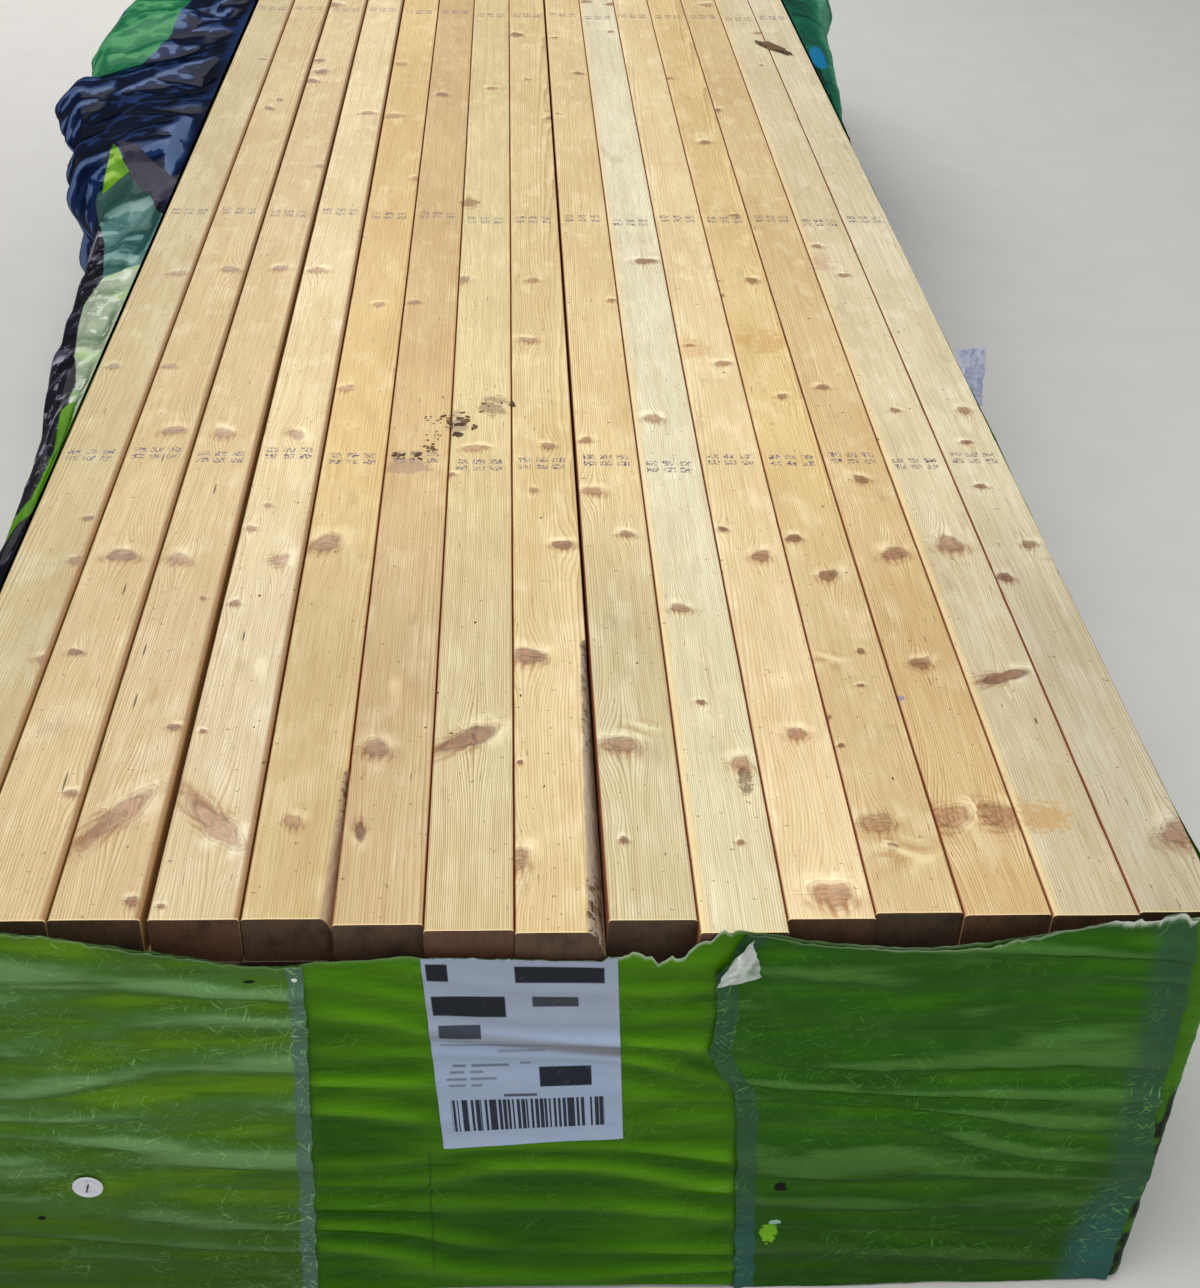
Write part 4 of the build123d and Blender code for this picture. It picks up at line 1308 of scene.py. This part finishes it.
def printed_paper():
    """White paper in painted shade, with a painted shadow along a crease, plain bars and upright strokes,
    from the two shares across and down the label.
    """
    paint = Paint("printed label paper")
    place = paint.place()
    across, down = paint.fact("share_x"), paint.fact("share_z")
    grain = paint.noise(place, 900.0, 3.0)
    soil = paint.noise(place, 22.0, 4.0, 0.6)
    # Painted shade: the white paper is given a shaded blue grey, greyer above the crease
    colour = paint.mix(grain, (152, 168, 194), (170, 184, 210))
    colour = paint.mix(soil.step(0.5, 0.75) * 0.3, colour, (178, 184, 196))
    colour = paint.mix(down.step(0.42, 0.30) * 0.35, colour, (150, 152, 160))
    # Painted shadow along the crease, across the label
    tilted = down - across * 0.10
    band = tilted.step(0.34, 0.37) * tilted.step(0.435, 0.41) * (across * 0.5 + 0.4)
    colour = paint.mix(band, colour, (126, 126, 130))
    soft = 0.004

    def bar(left, right, top, bottom, black):
        inside = across.step(left - soft, left + soft) * across.step(right + soft, right - soft)
        return inside * down.step(top - soft, top + soft) * down.step(bottom + soft, bottom - soft) * black

    ink = strongest(bar(*edges) for edges in BARS)
    left, right, top, bottom = CODE
    window = across.step(left - soft, left) * across.step(right + soft, right)
    window = window * down.step(top - soft, top) * down.step(bottom + soft, bottom)
    stroke = across * STROKES
    wide = paint.noise(paint.vector(stroke.floor() * 1.7, 0.0, 0.0), 1.0, 0.0)
    strokes = (stroke.fraction() - (wide - 0.5) * 2.6 - 0.58).step(0.06, -0.06)
    ink = ink.most(window * strokes * 0.92)
    wear = paint.noise(place, 160.0, 3.0).step(0.72, 0.6)
    colour = paint.mix(ink * (0.95 + wear * 0.05), colour, (14, 14, 20))
    return coated(paint, colour, 0.55 + grain * 0.2, grain + soil, 0.12 * MM, 0.1, 0.4)


label = dress(label_sheet(), printed_paper(), "label_paper", "label")

# %% Washer and staple


def washer():
    """A turned disc: a profile of distances from its middle and heights, carried round a circle."""
    profile = np.array([
        (0.01, 0.0), (12.4, 0.0), (13.0, 0.35), (13.0, 0.9), (12.5, 1.4), (11.6, 1.6), (10.9, 1.45),
        (10.4, 1.1), (8.0, 1.0), (5.4, 1.15), (4.6, 1.4), (3.4, 1.45), (2.6, 1.2), (0.01, 1.15),
    ]) * MM
    angle = np.linspace(0, 2 * np.pi, 49)[None, :-1]
    radius, height = profile[:, :1], profile[:, 1:]
    out = -FILM_END - WASHER_SEAT - height + 0 * angle
    grid = np.stack([WASHER[0] + radius * np.cos(angle), out, WASHER[1] + radius * np.sin(angle)], -1)
    return surface("washer_disc", grid, wrap=True, caps=True, sharp=50)


def staple():
    """A wire along a bent path: up through the washer, across its middle at a slant, and down again."""
    turn_angle = np.radians(75)
    t = np.linspace(-1, 1, 25)
    along = 5.0 * np.sign(t) * np.minimum(1, np.abs(t) * 1.35) * MM
    rise = (2.25 - 1.5 * ease(0.72, 1.0, np.abs(t))) * MM
    x, z = WASHER[0] + along * np.cos(turn_angle), WASHER[1] + along * np.sin(turn_angle)
    centre = np.stack([x, -FILM_END - WASHER_SEAT - rise + 0.3 * MM, z], -1)
    angle = np.linspace(0, 2 * np.pi, 11)[:-1]
    across = np.array([-np.sin(turn_angle), 0, np.cos(turn_angle)])
    outward = np.array([0.0, -1.0, 0.0])
    ring = 0.65 * MM * np.cos(angle)[:, None] * across + 0.45 * MM * np.sin(angle)[:, None] * outward
    return surface("staple_crown", centre[:, None, :] + ring[None], wrap=True, caps=True)


def moulded():
    """White plastic with a little dirt on it."""
    paint = Paint("white plastic")
    place = paint.place()
    soil, fine = paint.noise(place, 120.0, 4.0), paint.noise(place, 700.0, 2.0)
    colour = paint.mix(fine, (204, 206, 216), (224, 224, 232))
    colour = paint.mix(soil.step(0.55, 0.75) * 0.5, colour, (150, 150, 150))
    return paint.finish(colour, 0.38 + fine * 0.2, fine + soil, 0.0001)


def wire():
    """Galvanised wire gone dull."""
    paint = Paint("dull staple wire")
    fine = paint.noise(paint.place(), 900.0, 3.0)
    colour = paint.mix(fine, (58, 58, 62), (92, 90, 88))
    return paint.finish(colour, 0.38 + fine * 0.25, fine, 0.00005, Metallic=0.9)


dress(washer(), moulded(), "white_plastic", "cap_washer")
dress(staple(), wire(), "staple_wire", "cap_staple")
faces_of = [len(piece.data.polygons) for piece in (wrap_sheet, left_flap, right_flap)]
print("faces of the wrap and of the two near flaps:", faces_of)

# %% [markdown]
# ## The thrown off top sheet
# The top of the wrap was torn off and thrown to both sides, where it hangs crumpled beside the
# rear of the stack. Each side is one sheet: sections across it, from the wall out over a bulge and down in
# folds, joined along the stack. Straight facets between sharp creases make it look like film
# and not like cloth, so its crumple is a sum of flat triangles of four sizes, each turned its own way and
# bent by noise.

# %% Top sheets
FOLDS = np.array([
    (0.0, 1.0), (0.42, 1.0), (0.84, 0.95), (1.0, 0.80), (0.82, 0.64), (0.90, 0.48), (0.58, 0.30),
    (0.62, 0.16), (0.22, 0.02), (0.03, 0.0),
])
# Share of the stack's length, then bulge, rise over the stack and hang below its top in millimetres
LEFT_SECTIONS = np.array([
    (0.115, 10, -10, 240), (0.155, 24, -9, 270), (0.20, 36, -6, 290), (0.255, 62, -5, 300),
    (0.317, 88, -4, 315), (0.39, 102, -3, 330), (0.445, 144, 0, 335), (0.476, 184, 2, 340),
    (0.51, 230, 3, 345), (0.545, 262, 4, 350), (0.60, 302, 4, 350), (0.70, 276, 4, 345), (0.84, 196, 4, 330),
    (0.985, 52, -4, 290),
])
RIGHT_SECTIONS = np.array([
    (0.515, 6, -12, 190), (0.56, 16, -8, 220), (0.60, 36, 0, 250), (0.68, 62, 4, 300), (0.74, 86, 6, 320),
    (0.78, 130, 6, 322), (0.86, 120, 4, 320), (0.985, 36, -6, 270),
])
# Size in metres, height in millimetres and turn of each size of facet
CREASES = ((0.20, 24, 0.5), (0.11, 12, 2.1), (0.055, 4.5, 1.2), (0.028, 1.3, 2.7))
ALONG_STEP, ROWS_DOWN, SHEET_CEILING = 8 * MM, 110, 476 * MM


def facets(u, v, seed):
    """Flat triangles: each lattice square is cut in two, and each half is blended in straight lines."""
    a, b, here, beside, over, across = lattice(u, v, seed)
    right_half = a * (beside - here) + b * (across - beside)
    left_half = b * (over - here) + a * (across - over)
    return here + np.where(a >= b, right_half, left_half)


def crumple(u, v, seed):
    """Crumpled film: four sizes of flat triangles, each turned its own way and bent a little by noise."""
    total = np.zeros(np.broadcast(u, v).shape)
    for k, (size, height, angle) in enumerate(CREASES):
        bend = 0.3 * wander(u / (size * 1.7), v / (size * 1.3), seed + 20 + k)
        lengthwise = (u * np.cos(angle) + v * np.sin(angle)) / (size * 1.4) + bend
        crosswise = (v * np.cos(angle) - u * np.sin(angle)) / (size * 0.9) - bend
        total += facets(lengthwise + 40, crosswise + 40, seed + k) * height * MM
    return total


def within(x, y, pixels):
    """How many millimetres a place lies inside a patch, seen from above, or less than 0 outside it.

    It is inside when the number of edges to its right is odd, and as deep as the nearest edge is far.
    """
    corners = on_level(pixels, STACK_HEIGHT - 10 * MM)[:, :2]
    inside = np.zeros(x.shape, bool)
    nearest = np.full(x.shape, 1.0)
    for (x0, y0), (x1, y1) in zip(corners, np.roll(corners, -1, axis=0)):
        inside ^= ((y0 > y) != (y1 > y)) & (x < (x1 - x0) * (y - y0) / (y1 - y0) + x0)
        dx, dy = x1 - x0, y1 - y0
        share = np.clip(((x - x0) * dx + (y - y0) * dy) / (dx * dx + dy * dy), 0, 1)
        nearest = np.minimum(nearest, np.hypot(x - x0 - share * dx, y - y0 - share * dy))
    return np.where(inside, nearest, -nearest) / MM


LEFT_PATCHES = {  # corners as pixels of the photograph
    "outer": [
        (44, 72), (50, 62), (62, 48), (126, 8), (150, -8), (196, -12), (192, 6), (172, 36), (155, 50),
        (138, 58), (66, 66)
    ],
    "lime": [(101, 188), (115, 154), (130, 179)],
    "veil": [(118, 152), (188, 193), (162, 206), (140, 192), (127, 176)],
    "teal": [(94, 187), (128, 180), (150, 198), (168, 228), (165, 262), (158, 278), (104, 284), (104, 240)],
    "milk": [
        (104, 283), (170, 262), (150, 320), (135, 380), (110, 430), (92, 470), (60, 520), (44, 560),
        (56, 478), (64, 440), (70, 400), (76, 385), (76, 330), (83, 303)
    ],
    "strip": [
        (62, 412), (70, 404), (77, 402), (70, 434), (62, 462), (52, 484), (42, 503), (14, 525), (-10, 550),
        (-10, 528), (30, 498), (42, 478), (53, 450)
    ],
}


def top_sheet(name, sections, side, seed, patches):
    """A thrown off sheet: the fold profile scaled by each section, then crumpled along its own normals."""
    start, end = sections[[0, -1], 0] * STUD_LENGTH - STUD_LENGTH / 2
    along = np.linspace(start, end, int((end - start) / ALONG_STEP))
    share = (along + STUD_LENGTH / 2) / STUD_LENGTH
    bulge, rise, hang = (np.interp(share, sections[:, 0], sections[:, k]) * MM for k in (1, 2, 3))
    lengths = np.concatenate([[0], np.cumsum(np.hypot(*np.diff(FOLDS, axis=0).T))])
    down = np.linspace(0, lengths[-1], ROWS_DOWN)
    out, up = np.interp(down, lengths, FOLDS[:, 0]), np.interp(down, lengths, FOLDS[:, 1])
    soft = np.hanning(7) / np.hanning(7).sum()
    out = np.convolve(np.pad(out, 3, "edge"), soft, "valid")
    up = np.convolve(np.pad(up, 3, "edge"), soft, "valid")
    y, t = np.meshgrid(along, np.linspace(0, 1, ROWS_DOWN), indexing="ij")
    swing = 1 + 0.05 * facets(y / 0.15 + 30, t * 3, seed)
    swing = swing + 0.12 * facets(y / 0.2 + 30, t * 5, seed + 9) * ease(0.35, 0.6, t)
    reach = bulge[:, None] * out * swing
    height = STACK_HEIGHT - hang[:, None] + up * (rise + hang)[:, None]
    at_wall = ease(0.05, 0.0, t)
    height = height * (1 - at_wall) + (STACK_HEIGHT - 0.5 * MM) * at_wall
    # Torn film has no straight side: the hem hangs unevenly, and so are both ends drawn in
    sag = 15 * wander(y / 0.13, 0, seed + 40) + 6 * facets(y / 0.04 + 60, t + 3, seed + 41)
    height = height - ease(0.72, 1.0, t) * sag * MM
    drawn_in = 30 * (1 + wander(t * 7, 0, seed + 42)) + 7 * (1 + facets(t * 26 + 3, 5, seed + 43))
    y = y + drawn_in * MM * ease(0, 0.3, t) * (ease(start + 0.2, start, y) - ease(end - 0.2, end, y))
    grid = np.stack([side * (FILM_SIDE + 5.5 * MM - 5.2 * MM * at_wall + reach), y, height], -1)
    d_along, d_down = np.gradient(grid, axis=0), np.gradient(grid, axis=1)
    normal = np.cross(d_down, d_along) * side
    normal /= np.maximum(np.linalg.norm(normal, axis=-1, keepdims=True), 1e-9)
    scale = np.minimum(1, 0.12 + bulge / 0.16)[:, None] * ease(0, 0.05, t) * ease(1.0, 0.93, t)
    length_down = lengths[-1] * np.maximum(bulge, 0.12)[:, None] * t
    lift = crumple(y, length_down, seed + 5) * scale
    grid = grid + normal * lift[..., None]
    grid[..., 0] = side * np.maximum(side * grid[..., 0], FILM_SIDE + (5.2 - 5.0 * at_wall) * MM)
    grid[..., 2] = np.minimum(grid[..., 2], SHEET_CEILING)
    slope = np.gradient(lift, axis=1) / np.maximum(np.gradient(length_down, axis=1), 1 * MM)
    slope = slope + 1.3 * np.gradient(lift, axis=0) / ALONG_STEP
    bend = np.gradient(np.gradient(lift, axis=1), axis=1) + np.gradient(np.gradient(lift, axis=0), axis=0)
    bend = bend / (0.35 * MM)
    facts = {"down": t, "slope": slope, "ridge": np.clip(-bend, 0, 1), "valley": np.clip(bend, 0, 1)}
    for patch, pixels in patches.items():
        facts[patch] = np.where(t < 0.42, within(grid[..., 0], grid[..., 1], pixels), -50)
    if side < 0:
        grid, facts = grid[::-1], {k: v[::-1] for k, v in facts.items()}
    return surface(name, grid, facts, sharp=22)


def thrown_film(name, side):
    """The film's dark inner face, with its green outer face showing where it is turned over; painted
    reflections lighten facets by slope and on ridges, painted shade darkens the valleys.
    """
    paint = Paint(name)
    place = paint.place()
    x, y, _ = paint.split(place)
    down, slope, ridge, valley = map(paint.fact, ("down", "slope", "ridge", "valley"))
    wide = paint.noise(place, 5.0, 3.0)
    fine = paint.noise(place, 60.0, 4.0, 0.6)
    edge = paint.noise(place, 11.0, 3.0) - 0.5
    # Painted reflections: facets lighter by slope and on ridges, with painted shade in the valleys
    facing = slope * 0.7 + wide * 0.4 + 0.16 + ridge.step(0.3, 0.8) * 0.4
    facing = (facing - valley.step(0.3, 0.8) * 0.25).clamp()
    inner = paint.ramp(
        facing, [(0.0, (2, 8, 24)), (0.45, (6, 20, 52)), (0.75, (26, 50, 94)), (1.0, (88, 110, 150))]
    )
    if side < 0:
        # Painted light: the turned over patches lighter by slope and on ridges, darker in valleys as painted
        # shade
        lit = (slope * 0.7 + fine * 0.5 + 0.1 + ridge.step(0.25, 0.8) * 0.4 - valley * 0.2).clamp()
        outer = paint.ramp(lit, [(0.0, (20, 88, 56)), (0.5, (40, 124, 82)), (1.0, (84, 160, 106))])
        limey = paint.ramp(lit, [(0.0, (54, 104, 4)), (0.5, (92, 148, 14)), (1.0, (166, 206, 92))])
        teal = paint.ramp(lit, [(0.0, (40, 78, 74)), (0.45, (84, 128, 124)), (1.0, (150, 184, 178))])
        # Painted shade: the teal patch is darker towards the back
        teal = paint.mix(y.step(-0.33, -0.2) * 0.7, teal, (18, 48, 36))
        milk = paint.ramp(lit, [(0.0, (104, 126, 100)), (0.4, (158, 174, 148)), (1.0, (220, 228, 208))])
        milk = paint.mix(edge.step(0.02, 0.12) * 0.5, milk, (166, 204, 118))
        milk = paint.mix(y.step(-0.95, -1.15) * 0.7, milk, (150, 160, 90))
        # Painted glints on the milky film and on the black strip
        painted_glint = paint.noise(place, (60.0, 34.0, 60.0), 4.0, 0.7).step(0.575, 0.65)
        milk = paint.mix(painted_glint * 0.6, milk, (240, 246, 234))
        # The black strip takes the same painted reflections
        jet = paint.ramp(
            facing, [(0.0, (8, 8, 12)), (0.5, (26, 26, 38)), (0.8, (70, 68, 84)), (1.0, (190, 190, 206))]
        )
        jet = paint.mix(painted_glint * 0.5, jet, (168, 168, 186))
        colour = paint.mix(y.step(-0.22, -0.36), inner, jet)
        veil = paint.mix(fine, (34, 34, 50), (72, 68, 86))
        tones = {"outer": outer, "veil": veil, "teal": teal, "milk": milk, "strip": limey, "lime": limey}
        for patch, tone in tones.items():
            colour = paint.mix((paint.fact(patch) + edge * 10.0).step(-1.2, 1.2), colour, tone)
    else:
        # Painted light: lighter by slope and away from the wall, with painted shade next to the wall
        lit = (slope * 0.6 + fine * 0.5 + down.step(0.12, 0.30) * 0.35).clamp()
        teal = paint.ramp(lit, [(0.0, (8, 52, 44)), (0.5, (34, 112, 84)), (1.0, (120, 190, 150))])
        colour = paint.mix((down + edge * 0.2).step(0.5, 0.6), teal, inner)
        chip = ((x - 0.552).size() + edge * 0.02).step(0.014, 0.010)
        chip = chip * ((y - 0.52).size() + edge * 0.16).step(0.07, 0.06) * down.step(0.22, 0.16)
        colour = paint.mix(chip * 0.9, colour, (30, 120, 170))
    return coated(paint, colour, 0.24 + fine * 0.2, fine * 0.5 + edge, 1.5 * MM, 0.07, 0.14)


left_sheet = top_sheet("left_top_sheet_film", LEFT_SECTIONS, -1, 131, LEFT_PATCHES)
dress(left_sheet, thrown_film("thrown film, left", -1), "dark_film", "left_top_sheet")
right_sheet = top_sheet("right_top_sheet_film", RIGHT_SECTIONS, 1, 151, {})
dress(right_sheet, thrown_film("thrown film, right", 1), "dark_film", "right_top_sheet")


def area(piece):
    """The area of a piece's faces, in square metres."""
    areas = np.zeros(len(piece.data.polygons))
    piece.data.polygons.foreach_get("area", areas)
    return float(areas.sum())


all_sheets = (wrap_sheet, left_flap, right_flap, label, left_sheet, right_sheet)
print("areas:", {piece.name: round(area(piece), 3) for piece in all_sheets})

# %% [markdown]
# ## Crumbs, a chip of bark and torn corners
# Small things make a bundle look handled. The crumbs of dried mud and bark are one mesh: a
# lump's grid, copied to every place at once by adding an axis to the array. The turned over
# corner and the torn scrap are sheets between four corners, crumpled like the thrown film.

# %% Crumbs
CRUMB_TRAILS = [  # pixel, spread in pixels, how many, smallest and largest length in millimetres
    ((408, 456), (16, 3), 22, 3, 7), ((428, 448), (8, 4), 14, 3, 7), ((433, 430), (8, 14), 22, 2, 4),
    ((456, 420), (14, 8), 20, 3, 8), ((465, 422), (4, 2), 3, 8, 12), ((458, 434), (3, 2), 3, 8, 12),
    ((475, 427), (2, 2), 2, 8, 11), ((492, 408), (12, 5), 10, 2, 5), ((515, 406), (4, 4), 4, 4, 8),
    ((600, 500), (380, 320), 60, 1.5, 4),
]
LUMP_ROWS, LUMP_COLUMNS = 7, 9
# The chip of bark: its place, length, turn and slimness
CHIP = (0.473, 0.566, 0.095, np.arctan2(-0.081, 0.053), 0.26)


def crumbs(name):
    """Many small lumps: rows of a flattened ball, with each lump's own length, width, turn and roughness."""
    draw = np.random.default_rng(77)
    places, lengths = [], []
    for (px, py), (wide, tall), count, least, most in CRUMB_TRAILS:
        pixels = np.array([px, py]) + draw.uniform(-1, 1, (count, 2)) * (wide, tall)
        places.append(on_stack(pixels).T)
        lengths.append(draw.uniform(least, most, count) * MM)
    places, lengths = np.concatenate(places), np.concatenate(lengths)
    inside = np.abs(places[:, 0]) < 0.5
    places, lengths = places[inside], lengths[inside]
    places = np.concatenate([places, [CHIP[:2]]])
    lengths = np.concatenate([lengths, [CHIP[2]]])
    count = len(places)
    turns, slim = draw.uniform(0, np.pi, count), draw.uniform(0.3, 0.7, count)
    turns[-1], slim[-1] = CHIP[3:]
    steps_down = np.linspace(0.05, np.pi - 0.05, LUMP_ROWS)
    steps_round = np.linspace(0, 2 * np.pi, LUMP_COLUMNS + 1)[:-1]
    polar, around = np.meshgrid(steps_down, steps_round, indexing="ij")
    ball = np.stack([np.cos(polar), np.sin(polar) * np.cos(around), np.sin(polar) * np.sin(around)], -1)
    knock = 1 + draw.uniform(-0.28, 0.28, (count, LUMP_ROWS, LUMP_COLUMNS, 1))
    thick = np.minimum(lengths * 0.13, 4.5 * MM)
    size = np.stack([lengths / 2, lengths / 2 * slim, thick], -1)[:, None, None, :]
    lump = ball[None] * knock * size
    c, s = np.cos(turns)[:, None, None], np.sin(turns)[:, None, None]
    x, y = lump[..., 0] * c - lump[..., 1] * s, lump[..., 0] * s + lump[..., 1] * c
    z = lump[..., 2] + STACK_HEIGHT + size[..., 2] * 0.5
    points = np.stack([x + places[:, 0, None, None], y + places[:, 1, None, None], z], -1)
    index = np.arange(LUMP_ROWS * LUMP_COLUMNS).reshape(LUMP_ROWS, LUMP_COLUMNS)
    ring = quads(np.concatenate([index, index[:, :1]], axis=1))
    firsts = np.arange(count) * index.size
    faces = (ring[None] + firsts[:, None, None]).reshape(-1, 4).tolist()
    for first in firsts.tolist():
        faces.append([first + k for k in index[0, ::-1].tolist()])
        faces.append([first + k for k in index[-1].tolist()])
    mesh = bpy.data.meshes.new(name)
    mesh.from_pydata(points.reshape(-1, 3).tolist(), [], faces)
    return put(name, mesh)


def crumb_paint():
    """Bark and dried mud: two browns with darker grains."""
    paint = Paint("bark and dried mud")
    place = paint.place()
    kind, fine = paint.noise(place, 60.0, 2.0), paint.noise(place, 700.0, 3.0)
    colour = paint.mix(kind.step(0.4, 0.6), (78, 54, 32), (120, 92, 58))
    colour = paint.mix(fine.step(0.5, 0.7) * 0.7, colour, (40, 28, 20))
    return paint.finish(colour, 0.7 + fine * 0.25, fine, 0.0004)


dress(crumbs("crumbs_and_bark"), crumb_paint(), "pine")


SCRAP_POINTS = 34  # along each side of a torn patch


def torn_patch(name, corners, seed, height):
    """A small sheet between four corners in space, crumpled along its normal."""
    share, rise = np.meshgrid(*[np.linspace(0, 1, SCRAP_POINTS)] * 2)
    low_left, low_right, top_left, top_right = np.array(corners, float) * MM
    flat = between((low_left, low_right, top_left, top_right), share, rise)
    across, up = low_right - low_left + top_right - top_left, top_left - low_left + top_right - low_right
    outward = np.cross(across, up)
    outward /= np.linalg.norm(outward)
    ragged = 1.2 * MM * wander(rise * 9, share * 9, seed + 3)
    lift = facets(share * 3 + 5, rise * 2.5 + 5, seed) + 0.4 * facets(share * 7 + 5, rise * 8 + 5, seed + 1)
    fray = np.stack([ragged, 0 * ragged, ragged * 0.6], -1)
    grid = flat + outward * (lift * height * MM)[..., None] + fray
    return surface(name, grid, {"lift": lift}, sharp=25)


def white_scrap(name, dark, light):
    """The film's pale inner face, with a painted highlight on each facet that stands up."""
    paint = Paint(name)
    place = paint.place()
    lift, fine = paint.fact("lift"), paint.noise(place, 180.0, 3.0)
    colour = paint.mix(lift * 0.35 + fine, dark, light)
    return paint.finish(colour, 0.25 + fine * 0.25, fine, 0.0005)


FRONT = -FILM_END / MM - 7
CORNER_PATCH = [(125.5, FRONT - 2, 400), (161, FRONT - 2, 410), (137, FRONT - 2, 428), (151, FRONT - 3, 453)]
SCRAP_PATCH = [(540, -830, 402), (572, -812, 396), (538, -768, 452), (584, -742, 446)]
folded_corner = torn_patch("turned_over_corner", CORNER_PATCH, 171, 2.2)
dress(folded_corner, white_scrap("white inner face", (120, 138, 120), (222, 228, 222)), "milky_film")
right_scrap = torn_patch("torn_scrap", SCRAP_PATCH, 173, 4.0)
dress(right_scrap, white_scrap("blue white scrap", (112, 122, 160), (214, 218, 232)), "dark_film")
print("scraps:", round(area(folded_corner), 5), round(area(right_scrap), 5), "square metres")
